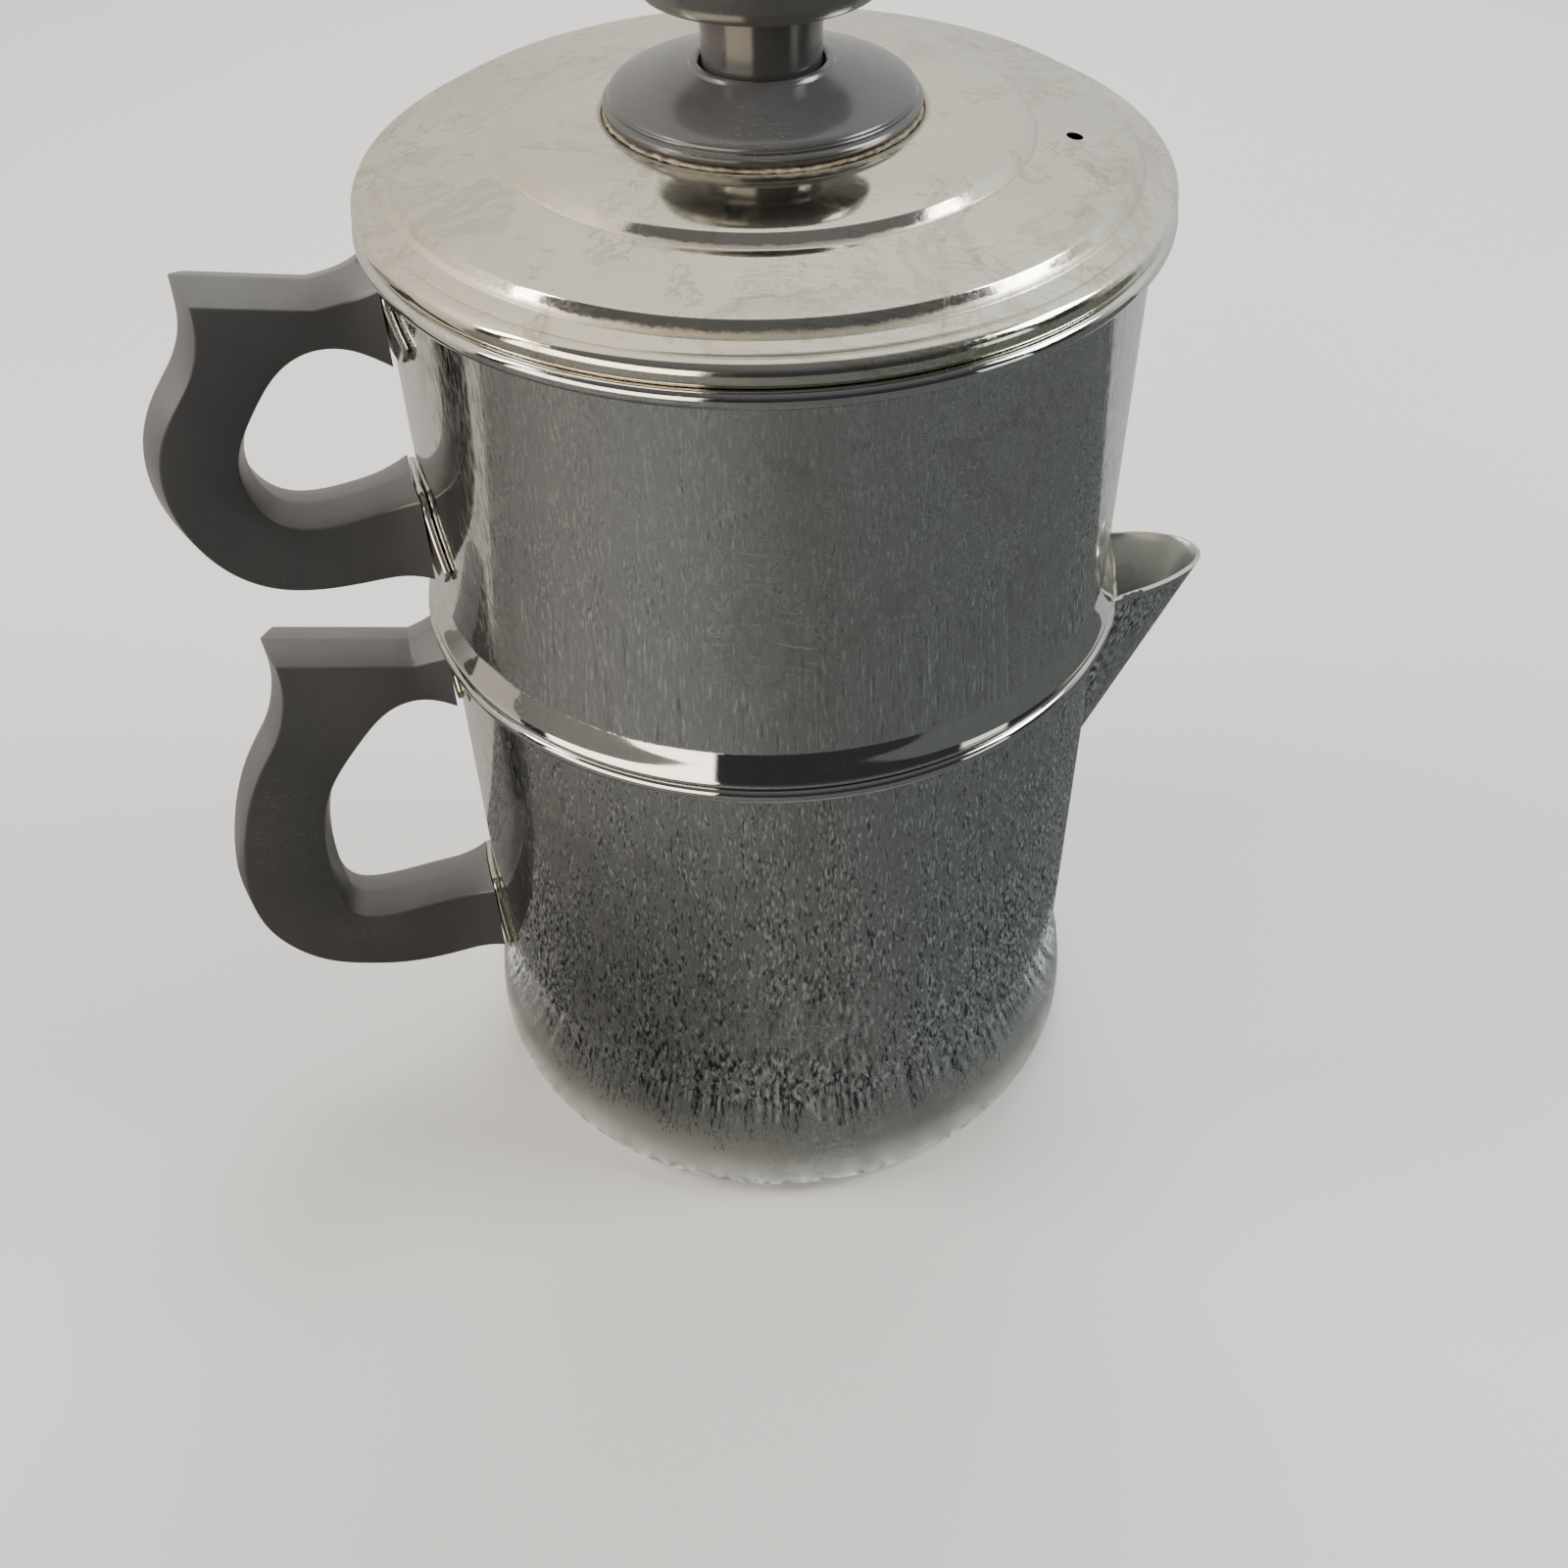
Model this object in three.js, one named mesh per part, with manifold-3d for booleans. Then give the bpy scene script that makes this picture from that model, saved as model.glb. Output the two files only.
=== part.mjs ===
// Two-tier drip coffee pot in stainless steel with black Bakelite handles and lid knob.
// Millimetres, +Z up. The origin is the centre of the flat base; +X points through the spout.
import * as THREE from 'three';
import { mergeVertices } from 'three/addons/utils/BufferGeometryUtils.js';
import Module from 'manifold-3d';

const wasm = await Module();
wasm.setup();

// ---------------------------------------------------------------- driving dimensions
const WALL_RADIUS = 70; // outer radius of both cylinders
const SHEET = 0.8; // steel sheet thickness
const GAP = 0.3; // clearance between touching pieces
const SHELL_SIDES = 48; // facets of the large round shells

const FOOT_RADIUS = 73.4;
const FOOT_TOP = 35; // height where the foot's flare meets the straight wall
const SERVER_BEAD = { radius: 71.7, z: 132.0, tube: 1.6 }; // rolled rim of the lower pot

const FLANGE_RADIUS = 72.6; // lip of the upper chamber that rests on the pot's rim
const FLANGE_Z = SERVER_BEAD.z + SERVER_BEAD.tube + GAP;
const NECK_RADIUS = 68.3; // spigot that enters the pot
const NECK_BOTTOM = 117.6;
const NECK_OPENING = 56; // radius of the opening in the neck's floor
const RIM_BEAD = { radius: 71.8, z: 214.6, tube: 1.6 }; // rolled rim of the upper chamber

const LID_BEAD = { radius: 70.4, z: 218.5, tube: 2.2 };
const LID_SKIRT_RADIUS = 68.4;
const LID_SKIRT_BOTTOM = 209;
const LID_TOP = 229.2;
const VENT = { x: 54, y: -5.5, radius: 1.5 }; // steam hole through the lid

const FILTER_SHEET = 0.7;
const DRIPPER_FILTER_RADIUS = 62;
const BASKET_RADIUS = 64.6;
const BASKET_FLANGE_RADIUS = 68.7;
const BASKET_BOTTOM = 120.2;
const BASKET_TOP = 137.4;
const BASKET_OPENING = 58;
const SPREADER_RADIUS = 68.6;

const HANDLE_HALF_THICKNESS = 7; // between a flat side face and the ridge plane
const HANDLE_INNER_RIDGE = 1.4; // how far the ridge stands into the finger gap
const HANDLE_FLARE_HALF = 8.3; // half width of the end that meets the bracket
const HANDLE_FLARE_REACH = 78; // where the flare has run out
const BRACKET_INNER = WALL_RADIUS + GAP;
const BRACKET_OUTER = BRACKET_INNER + 1.1;
const HANDLE_END = BRACKET_OUTER + GAP;
const STUD_RADIUS = 2;
const BRACKET_TOP_HALF = 9; // half width at the top; each plate widens downwards
const BRACKET_CORNER = 4;
const STUD_LENGTH = 8.5;

const SPOUT_TOP = 132.4;
const SPOUT_BOTTOM = 77;
const SPOUT_ROOT = 66; // inside the wall, where the outline is closed before it is trimmed
const SPOUT_HINGE = WALL_RADIUS - 1; // the keel tapers towards this reach

const WASHER_RADIUS = 27;
const KNOB_BORE = 2.7; // clearance hole for the lid screw
const KNOB_FLANGE_Z = 230.5;
const KNOB_SOCKET_FLOOR = 235;
const SCREW_RADIUS = 2.4;
const SCREW_TOP = 246;

// ---------------------------------------------------------------- materials
function steel(color, roughness) {
  return new THREE.MeshStandardMaterial({ color, roughness, metalness: 1 });
}

function bakelite() {
  return new THREE.MeshStandardMaterial({ color: 0x17181a, roughness: 0.35, metalness: 0 });
}

const BRIGHT = 0xc9c7c0;
const LID_STEEL = 0xbdb9ab;

// ---------------------------------------------------------------- solids and booleans
function bareGeometry(geometry) {
  const bare = geometry.index ? geometry : geometry.clone();
  bare.deleteAttribute('normal');
  bare.deleteAttribute('uv');
  return mergeVertices(bare, 1e-4);
}

function toManifold(geometry) {
  const merged = bareGeometry(geometry);
  const mesh = new wasm.Mesh({
    numProp: 3,
    vertProperties: new Float32Array(merged.attributes.position.array),
    triVerts: new Uint32Array(merged.index.array),
  });
  return new wasm.Manifold(mesh);
}

function toGeometry(manifold) {
  const mesh = manifold.getMesh();
  const geometry = new THREE.BufferGeometry();
  geometry.setAttribute('position', new THREE.BufferAttribute(mesh.vertProperties, 3));
  geometry.setIndex(new THREE.BufferAttribute(mesh.triVerts, 1));
  return geometry;
}

function mesh(name, geometry, material) {
  const piece = new THREE.Mesh(geometry, material);
  piece.name = name;
  return piece;
}

// A turned solid about Z. The profile is a list of [radius, height], run anticlockwise.
function turned(profile, sides) {
  const points = profile.map(([radius, z]) => new THREE.Vector2(radius, z));
  return new THREE.LatheGeometry(points, sides).rotateX(Math.PI / 2);
}

// A turned ring: the profile closes on itself and stays clear of the axis.
function turnedRing(profile, sides) {
  return turned([...profile, profile[0]], sides);
}

function arcPoints(centre, radius, fromDeg, toDeg, steps) {
  const points = [];
  for (let step = 0; step <= steps; step += 1) {
    const angle = THREE.MathUtils.degToRad(fromDeg + ((toDeg - fromDeg) * step) / steps);
    points.push([centre[0] + radius * Math.cos(angle), centre[1] + radius * Math.sin(angle)]);
  }
  return points;
}

function circlePath(PathType, x, y, radius, sides) {
  const points = arcPoints([x, y], radius, 0, 360 - 360 / sides, sides - 1);
  return new PathType(points.map(([px, py]) => new THREE.Vector2(px, py)));
}

function polygonShape(points) {
  return new THREE.Shape(points.map(([x, y]) => new THREE.Vector2(x, y)));
}

// A plain prism along Z between two heights.
function prism(points, bottom, top) {
  const geometry = new THREE.ExtrudeGeometry(polygonShape(points), {
    depth: top - bottom,
    bevelEnabled: false,
  });
  return geometry.translate(0, 0, bottom);
}

function cylinderZ(radius, bottom, top, sides) {
  return prism(arcPoints([0, 0], radius, 0, 360 - 360 / sides, sides - 1), bottom, top);
}

// A rod along +X that starts at the given reach.
function rodX(radius, reach, length, z, sides) {
  return new THREE.CylinderGeometry(radius, radius, length, sides)
    .rotateZ(-Math.PI / 2)
    .translate(reach + length / 2, 0, z);
}

// A perforated disc with one hole at its centre and rings of 6, 12, 18... holes around it.
function perforatedDisc(radius, bottom, holes) {
  const shape = circlePath(THREE.Shape, 0, 0, radius, SHELL_SIDES);
  shape.holes.push(circlePath(THREE.Path, 0, 0, holes.centre, holes.centreSides));
  for (let ring = 1; ring <= holes.rings; ring += 1) {
    const count = 6 * ring;
    for (let index = 0; index < count; index += 1) {
      const angle = (2 * Math.PI * index) / count;
      const reach = ring * holes.pitch;
      const x = reach * Math.cos(angle);
      const y = reach * Math.sin(angle);
      shape.holes.push(circlePath(THREE.Path, x, y, holes.radius, 6));
    }
  }
  const geometry = new THREE.ExtrudeGeometry(shape, { depth: FILTER_SHEET, bevelEnabled: false });
  return geometry.translate(0, 0, bottom);
}

// ---------------------------------------------------------------- lower pot
function serverShell() {
  const inner = WALL_RADIUS - SHEET;
  const bead = SERVER_BEAD;
  const foot = [
    [66.5, 0],
    [69.8, 0.6],
    [72.2, 2.2],
    [FOOT_RADIUS, 5.6],
    [FOOT_RADIUS - 0.1, 9.5],
    [72.6, 14.5],
    [71.5, 19.5],
    [70.6, 26],
    [WALL_RADIUS, FOOT_TOP],
  ];
  const profile = [
    [0, 0],
    ...foot,
    [WALL_RADIUS, bead.z - bead.tube],
    ...arcPoints([bead.radius, bead.z], bead.tube, -90, 135, 6),
    [inner, bead.z],
    [inner, FOOT_TOP],
    [inner + 0.5, 27],
    [inner + 1.6, 18],
    [inner + 2.9, 9],
    [inner + 2.4, 3.2],
    [inner - 2, 1.2],
    [0, 1.2],
  ];
  const shell = toManifold(turned(profile, SHELL_SIDES));
  return toGeometry(shell.subtract(toManifold(pourOpening())));
}

// The V-shaped notch behind the spout, open through the rolled rim.
function pourOpening() {
  const halfWidth = 11;
  const above = SERVER_BEAD.z + 5;
  const shoulder = 126.5;
  const tip = 86;
  const shape = polygonShape([
    [-halfWidth, -above],
    [halfWidth, -above],
    [halfWidth, -shoulder],
    [0, -tip],
    [-halfWidth, -shoulder],
  ]);
  const cutter = new THREE.ExtrudeGeometry(shape, { depth: 20, bevelEnabled: false });
  return cutter.rotateX(Math.PI).rotateZ(Math.PI / 2).rotateY(Math.PI / 2).translate(60, 0, 0);
}

// Half of the spout's plan at its top edge as [reach, half width], from the wall to the lip.
const SPOUT_PLAN = [
  [SPOUT_HINGE, 14.6],
  [76.2, 11.9],
  [80.7, 10.6],
  [85.5, 8.4],
  [89.2, 5.7],
  [91.4, 3],
];
const SPOUT_LIP = 92.4;

// The top edge climbs from just under the pot's rim to the lip.
const SPOUT_EDGE = [[60, 127], [72.2, 128.9], [80.7, 130.5], [89.2, 132], [95, SPOUT_TOP]];

// The spout's plan as a closed outline, drawn in by the sheet thickness for its hollow.
function spoutOutline(inset) {
  const lengthScale = 1 - inset / (SPOUT_LIP - SPOUT_HINGE);
  const widthScale = 1 - inset / 9;
  const side = SPOUT_PLAN.map(([reach, half]) => [
    SPOUT_HINGE + (reach - SPOUT_HINGE) * lengthScale,
    half * widthScale,
  ]);
  const root = side[0][1] + 1;
  const lip = SPOUT_HINGE + (SPOUT_LIP - SPOUT_HINGE) * lengthScale;
  const mirrored = side.map(([reach, half]) => [reach, -half]);
  return [[SPOUT_ROOT, -root], ...mirrored, [lip, 0], ...side.reverse(), [SPOUT_ROOT, root]];
}

// The outline drawn down to the foot of the keel, so that the spout narrows to a point.
function taperedSpout(inset, bottom, top, smallest) {
  const geometry = prism(spoutOutline(inset), bottom, top);
  const position = geometry.attributes.position;
  for (let index = 0; index < position.count; index += 1) {
    const rise = (position.getZ(index) - bottom) / (SPOUT_TOP - bottom);
    const scale = smallest + (1 - smallest) * rise;
    position.setX(index, SPOUT_HINGE + (position.getX(index) - SPOUT_HINGE) * scale);
    position.setY(index, position.getY(index) * scale);
  }
  return geometry;
}

function serverSpout() {
  const outer = toManifold(taperedSpout(0, SPOUT_BOTTOM, SPOUT_TOP, 0.06));
  const hollow = toManifold(taperedSpout(SHEET, SPOUT_BOTTOM + 3.5, SPOUT_TOP + 2, 0.03));
  const wall = toManifold(cylinderZ(WALL_RADIUS + GAP, SPOUT_BOTTOM - 5, SPOUT_TOP + 5, 2 * SHELL_SIDES));
  const beadReach = SERVER_BEAD.radius + SERVER_BEAD.tube + GAP;
  const beadFoot = SERVER_BEAD.z - SERVER_BEAD.tube - GAP;
  const rim = toManifold(cylinderZ(beadReach, beadFoot, SPOUT_TOP + 5, 2 * SHELL_SIDES));
  const above = sideCutter([...SPOUT_EDGE, [95, SPOUT_TOP + 5], [60, SPOUT_TOP + 5]], 20);
  return toGeometry(outer.subtract(hollow).subtract(wall).subtract(rim).subtract(above));
}

// A prism with the given [reach, height] outline, across the XZ plane.
function sideCutter(points, halfWidth) {
  const depth = 2 * halfWidth;
  const geometry = new THREE.ExtrudeGeometry(polygonShape(points), { depth, bevelEnabled: false });
  return toManifold(geometry.translate(0, 0, -halfWidth).rotateX(Math.PI / 2));
}

// ---------------------------------------------------------------- handles
// Side-face outlines as [reach from the pot's axis, height]; the thumb rest ends at the horn.
// The upper chamber stands turned a few degrees on the pot, so the handles are not in line.
const UPPER_HANDLE = {
  name: 'dripper',
  azimuth: 196.5,
  ridge: 2.4,
  thumbRest: [[68, 213], [72.7, 210.6], [76.5, 209.2], [82.5, 208.5], [102.1, 212.5]],
  back: [[102.4, 206], [105.8, 198.7], [111.3, 191.9], [114.9, 183], [114.6, 171.8], [109.6, 160.7],
    [102.3, 154.1], [93.5, 151.5], [84, 151.1], [76, 151.3], [72.2, 150.5], [68, 149]],
  fingerGap: [[66, 170], [72.9, 167.9], [79.3, 166.2], [91.6, 165.2], [97.9, 168.1], [101.4, 175.8],
    [101.1, 183.2], [96.5, 190.9], [91.3, 197.8], [85.8, 201], [80.2, 201.1], [75.5, 199.1],
    [72.2, 196.8], [66, 194]],
  ends: [
    { name: 'upper', stud: 203.7, bracketBottom: 199.5, bracketTop: 211.5, bracketFoot: 16.2 },
    { name: 'lower', stud: 159.2, bracketBottom: 152.7, bracketTop: 169, bracketFoot: 16.2 },
  ],
  rim: RIM_BEAD,
};

const LOWER_HANDLE = {
  name: 'server',
  azimuth: 193,
  ridge: 2,
  thumbRest: [[68, 128.6], [74.1, 126.2], [78.6, 125], [105.5, 130.6]],
  back: [[105.3, 124.3], [108.7, 112.6], [116.2, 100.7], [121.9, 86], [125.2, 68.3], [123.1, 53.1],
    [114.5, 41.6], [104.2, 36.8], [93.2, 34.3], [81.6, 34.7], [71.4, 36.1], [68, 36]],
  fingerGap: [[66, 57], [74.5, 54.5], [81.5, 54], [97.9, 52.5], [104.6, 55.6], [106, 72.5],
    [104.2, 86.7], [100.7, 96], [93.2, 106.1], [85.9, 114], [79.5, 116.1], [73.8, 114.6],
    [71, 113.6], [66, 112]],
  ends: [
    { name: 'upper', stud: 120, bracketBottom: 117, bracketTop: 129.4, bracketFoot: 12.6 },
    { name: 'lower', stud: 45.4, bracketBottom: 39.5, bracketTop: 57.5, bracketFoot: 15 },
  ],
  rim: SERVER_BEAD,
};

function vectors(points) {
  return points.map(([x, y]) => new THREE.Vector2(x, y));
}

// The handle's silhouette with its finger gap still filled.
function outerShape(handle) {
  const shape = new THREE.Shape();
  const [start, ...rest] = vectors(handle.thumbRest);
  shape.moveTo(start.x, start.y);
  rest.forEach((point) => shape.lineTo(point.x, point.y));
  shape.splineThru(vectors(handle.back));
  return shape;
}

function gapShape(handle) {
  const shape = new THREE.Shape();
  const [start, ...rest] = vectors(handle.fingerGap);
  shape.moveTo(start.x, start.y);
  shape.splineThru(rest);
  return shape;
}

// A body whose edge runs from both side faces up to a ridge; a negative ridge makes a waist.
function ridgedBody(shape, halfThickness, ridge) {
  const crest = 0.4;
  const geometry = new THREE.ExtrudeGeometry(shape, {
    depth: crest,
    bevelThickness: halfThickness - crest / 2,
    bevelSize: ridge,
    bevelSegments: 1,
    curveSegments: 3,
  });
  return toManifold(geometry.translate(0, 0, -crest / 2).rotateX(Math.PI / 2));
}

function handleBody(handle, halfThickness) {
  const body = ridgedBody(outerShape(handle), halfThickness, handle.ridge);
  const gap = ridgedBody(gapShape(handle), halfThickness + 0.5, -HANDLE_INNER_RIDGE);
  return body.subtract(gap);
}

function handleGeometry(handle) {
  const wedge = toManifold(prism([
    [HANDLE_END - 2, -HANDLE_FLARE_HALF - 0.4],
    [HANDLE_FLARE_REACH, -HANDLE_HALF_THICKNESS + 0.4],
    [HANDLE_FLARE_REACH, HANDLE_HALF_THICKNESS - 0.4],
    [HANDLE_END - 2, HANDLE_FLARE_HALF + 0.4],
  ], 0, RIM_BEAD.z));
  const flare = handleBody(handle, HANDLE_FLARE_HALF + 1).intersect(wedge);
  const wall = toManifold(cylinderZ(HANDLE_END, 0, LID_TOP, 2 * SHELL_SIDES));
  const rimReach = handle.rim.radius + handle.rim.tube + GAP;
  const rimFoot = handle.rim.z - handle.rim.tube - GAP;
  const rim = toManifold(cylinderZ(rimReach, rimFoot, LID_TOP, 2 * SHELL_SIDES));
  let body = handleBody(handle, HANDLE_HALF_THICKNESS).add(flare).subtract(wall).subtract(rim);
  handle.ends.forEach((end) => {
    const hole = rodX(STUD_RADIUS + GAP, HANDLE_END - 1, STUD_LENGTH + 1 + GAP, end.stud, 10);
    body = body.subtract(toManifold(hole));
  });
  return toGeometry(body);
}

// A thin steel plate with rounded corners that hugs the wall behind one end of a handle.
function bracketGeometry(end) {
  const halfAngle = 17;
  const inside = arcPoints([0, 0], BRACKET_INNER, halfAngle, -halfAngle, 6);
  const outside = arcPoints([0, 0], BRACKET_OUTER, -halfAngle, halfAngle, 6);
  const arc = toManifold(prism([...outside, ...inside], end.bracketBottom - 1, end.bracketTop + 1));
  const across = BRACKET_TOP_HALF - BRACKET_CORNER;
  const acrossFoot = end.bracketFoot - BRACKET_CORNER;
  const low = end.bracketBottom + BRACKET_CORNER;
  const high = end.bracketTop - BRACKET_CORNER;
  const face = [
    ...arcPoints([across, high], BRACKET_CORNER, 0, 90, 4),
    ...arcPoints([-across, high], BRACKET_CORNER, 90, 180, 4),
    ...arcPoints([-acrossFoot, low], BRACKET_CORNER, 180, 270, 4),
    ...arcPoints([acrossFoot, low], BRACKET_CORNER, 270, 360, 4),
  ];
  const cutter = new THREE.ExtrudeGeometry(polygonShape(face), { depth: 10, bevelEnabled: false });
  cutter.rotateX(Math.PI / 2).rotateZ(Math.PI / 2).translate(WALL_RADIUS - 5, 0, 0);
  return toGeometry(arc.intersect(toManifold(cutter)));
}

function handleAssembly(handle) {
  const group = new THREE.Group();
  group.rotation.z = THREE.MathUtils.degToRad(handle.azimuth);
  group.add(mesh(`${handle.name}_handle`, handleGeometry(handle), bakelite()));
  handle.ends.forEach((end) => {
    const label = `${handle.name}_${end.name}`;
    group.add(mesh(`${label}_bracket`, bracketGeometry(end), steel(BRIGHT, 0.18)));
    const stud = rodX(STUD_RADIUS, HANDLE_END, STUD_LENGTH, end.stud, 10);
    group.add(mesh(`${label}_stud`, stud, steel(BRIGHT, 0.4)));
  });
  return group;
}

// ---------------------------------------------------------------- upper chamber
function dripperShell() {
  const inner = WALL_RADIUS - SHEET;
  const neckInner = NECK_RADIUS - SHEET;
  const bead = RIM_BEAD;
  return turnedRing([
    [NECK_OPENING, NECK_BOTTOM],
    [NECK_RADIUS - 1.2, NECK_BOTTOM],
    [NECK_RADIUS, NECK_BOTTOM + 1.2],
    [NECK_RADIUS, FLANGE_Z],
    [FLANGE_RADIUS, FLANGE_Z],
    [FLANGE_RADIUS, FLANGE_Z + 0.9],
    [71.4, 136],
    [70.5, 137.9],
    [WALL_RADIUS, 140.6],
    [WALL_RADIUS, bead.z - bead.tube],
    ...arcPoints([bead.radius, bead.z], bead.tube, -90, 135, 6),
    [inner, bead.z],
    [inner, 137.2],
    [neckInner, 135.4],
    [neckInner, NECK_BOTTOM + SHEET],
    [NECK_OPENING, NECK_BOTTOM + SHEET],
  ], SHELL_SIDES);
}

function basketCup() {
  const inner = BASKET_RADIUS - SHEET;
  return turnedRing([
    [BASKET_OPENING, BASKET_BOTTOM],
    [BASKET_RADIUS - 0.8, BASKET_BOTTOM],
    [BASKET_RADIUS, BASKET_BOTTOM + 0.8],
    [BASKET_RADIUS, BASKET_TOP - 0.9],
    [BASKET_FLANGE_RADIUS, BASKET_TOP + 0.1],
    [BASKET_FLANGE_RADIUS, BASKET_TOP + 0.7],
    [inner, BASKET_TOP + 0.7],
    [inner, BASKET_BOTTOM + SHEET],
    [BASKET_OPENING, BASKET_BOTTOM + SHEET],
  ], SHELL_SIDES);
}

const SPREADER_Z = BASKET_TOP + 0.7 + GAP;
const SPREADER_KNOB_BORE = 2;

function spreaderKnob() {
  const base = SPREADER_Z + FILTER_SHEET + GAP;
  return turned([
    [0, base],
    [5, base],
    [4, base + 2],
    [3.4, base + 8],
    [6.5, base + 11],
    [7, base + 13.5],
    [5, base + 15.5],
    [0, base + 16],
  ], 20);
}

function spreaderRivet() {
  const headBottom = SPREADER_Z - GAP - 1.4;
  return turned([
    [0, headBottom],
    [3.6, headBottom + 0.3],
    [3.6, headBottom + 1.4],
    [SPREADER_KNOB_BORE - GAP, headBottom + 1.4],
    [SPREADER_KNOB_BORE - GAP, SPREADER_Z + FILTER_SHEET],
    [0, SPREADER_Z + FILTER_SHEET],
  ], 12);
}

// ---------------------------------------------------------------- lid and knob
// Heights along the lid's outer face from the knob to the ledge beside the bead.
const LID_FACE = [
  [66.3, 221.9],
  [65.3, 224.3],
  [47.6, 226.2],
  [46.2, 228.5],
  [30, LID_TOP],
];

function lidShell() {
  const bead = LID_BEAD;
  const underside = LID_FACE.map(([radius, z]) => [radius - 0.5, z - SHEET]).reverse();
  const skirtInner = LID_SKIRT_RADIUS - SHEET;
  const shell = toManifold(turnedRing([
    [KNOB_BORE, LID_TOP - SHEET],
    ...underside,
    [skirtInner, 220],
    [skirtInner, LID_SKIRT_BOTTOM],
    [LID_SKIRT_RADIUS, LID_SKIRT_BOTTOM],
    [LID_SKIRT_RADIUS, bead.z - bead.tube / 2],
    ...arcPoints([bead.radius, bead.z], bead.tube, -150, 110, 9),
    ...LID_FACE,
    [KNOB_BORE, LID_TOP],
  ], SHELL_SIDES));
  const vent = cylinderZ(VENT.radius, LID_SKIRT_BOTTOM, LID_TOP, 10).translate(VENT.x, VENT.y, 0);
  return toGeometry(shell.subtract(toManifold(vent)));
}

function knobFlange() {
  const base = KNOB_FLANGE_Z;
  const socket = 11.1;
  return turnedRing([
    [KNOB_BORE, base],
    [27.2, base],
    [27.8, base + 0.5],
    [27.8, base + 1.3],
    [27, base + 1.7],
    [27, base + 2.1],
    [26.2, base + 3],
    [22.5, base + 4.6],
    [17.5, base + 6],
    [13.4, base + 6.6],
    [12.6, base + 6.7],
    [12.3, base + 7.3],
    [11.7, base + 7.5],
    [socket, base + 7.2],
    [socket, KNOB_SOCKET_FLOOR],
    [KNOB_BORE, KNOB_SOCKET_FLOOR],
  ], 40);
}

function knobGrip() {
  const base = KNOB_SOCKET_FLOOR + GAP;
  const discBottom = 249.8;
  return turned([
    [0, SCREW_TOP + GAP],
    [KNOB_BORE, SCREW_TOP + GAP],
    [KNOB_BORE, base],
    [10.3, base],
    [10.5, 240],
    [11, 248.6],
    [12, discBottom],
    [20.1, discBottom],
    [20.7, discBottom + 0.7],
    [20.7, discBottom + 5.2],
    [20.1, discBottom + 6.1],
    [17.5, discBottom + 6.9],
    [10, discBottom + 7.6],
    [0, discBottom + 7.8],
  ], 40);
}

function knobScrew() {
  const under = LID_TOP - SHEET - GAP - 0.9 - GAP;
  return turned([
    [0, under - 2.6],
    [3.4, under - 2.4],
    [4.6, under - 1.2],
    [4.6, under],
    [SCREW_RADIUS, under],
    [SCREW_RADIUS, SCREW_TOP],
    [0, SCREW_TOP],
  ], 16);
}

function flatRing(bore, radius, bottom, top, sides) {
  return turnedRing([[bore, bottom], [radius, bottom], [radius, top], [bore, top]], sides);
}

// ---------------------------------------------------------------- the whole pot
const pot = new THREE.Group();

const server = new THREE.Group();
server.add(mesh('server_shell', serverShell(), steel(BRIGHT, 0.22)));
server.add(mesh('server_spout', serverSpout(), steel(BRIGHT, 0.22)));
server.add(handleAssembly(LOWER_HANDLE));
pot.add(server);

const dripper = new THREE.Group();
const dripperFilterZ = NECK_BOTTOM + SHEET + GAP;
const dripperHoles = { centre: 2, centreSides: 8, rings: 2, pitch: 18, radius: 1.8 };
dripper.add(mesh('dripper_shell', dripperShell(), steel(BRIGHT, 0.22)));
dripper.add(mesh(
  'dripper_filter_plate',
  perforatedDisc(DRIPPER_FILTER_RADIUS, dripperFilterZ, dripperHoles),
  steel(BRIGHT, 0.4),
));
dripper.add(handleAssembly(UPPER_HANDLE));
pot.add(dripper);

const basket = new THREE.Group();
const basketFilterZ = BASKET_BOTTOM + SHEET + GAP;
const basketHoles = { centre: 1.6, centreSides: 6, rings: 3, pitch: 16, radius: 1.6 };
basket.add(mesh('basket_cup', basketCup(), steel(BRIGHT, 0.35)));
basket.add(mesh(
  'basket_filter_plate',
  perforatedDisc(BASKET_RADIUS - SHEET - GAP, basketFilterZ, basketHoles),
  steel(BRIGHT, 0.4),
));
pot.add(basket);

const spreader = new THREE.Group();
const spreaderHoles = {
  centre: SPREADER_KNOB_BORE, centreSides: 12, rings: 2, pitch: 22, radius: 2,
};
spreader.add(mesh(
  'spreader_plate',
  perforatedDisc(SPREADER_RADIUS, SPREADER_Z, spreaderHoles),
  steel(BRIGHT, 0.35),
));
spreader.add(mesh('spreader_knob', spreaderKnob(), bakelite()));
spreader.add(mesh('spreader_rivet', spreaderRivet(), steel(BRIGHT, 0.4)));
pot.add(spreader);

const lid = new THREE.Group();
const outerWasherZ = LID_TOP + GAP;
const innerWasherTop = LID_TOP - SHEET - GAP;
lid.add(mesh('lid_shell', lidShell(), steel(LID_STEEL, 0.38)));
lid.add(mesh(
  'lid_knob_washer',
  flatRing(KNOB_BORE, WASHER_RADIUS, outerWasherZ, KNOB_FLANGE_Z - GAP, 40),
  steel(LID_STEEL, 0.6),
));
lid.add(mesh('lid_knob_flange', knobFlange(), bakelite()));
lid.add(mesh('lid_knob_grip', knobGrip(), bakelite()));
lid.add(mesh(
  'lid_lock_washer',
  flatRing(KNOB_BORE, 9, innerWasherTop - 0.9, innerWasherTop, 24),
  steel(BRIGHT, 0.4),
));
lid.add(mesh('lid_knob_screw', knobScrew(), steel(BRIGHT, 0.4)));
pot.add(lid);

export default pot;
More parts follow.
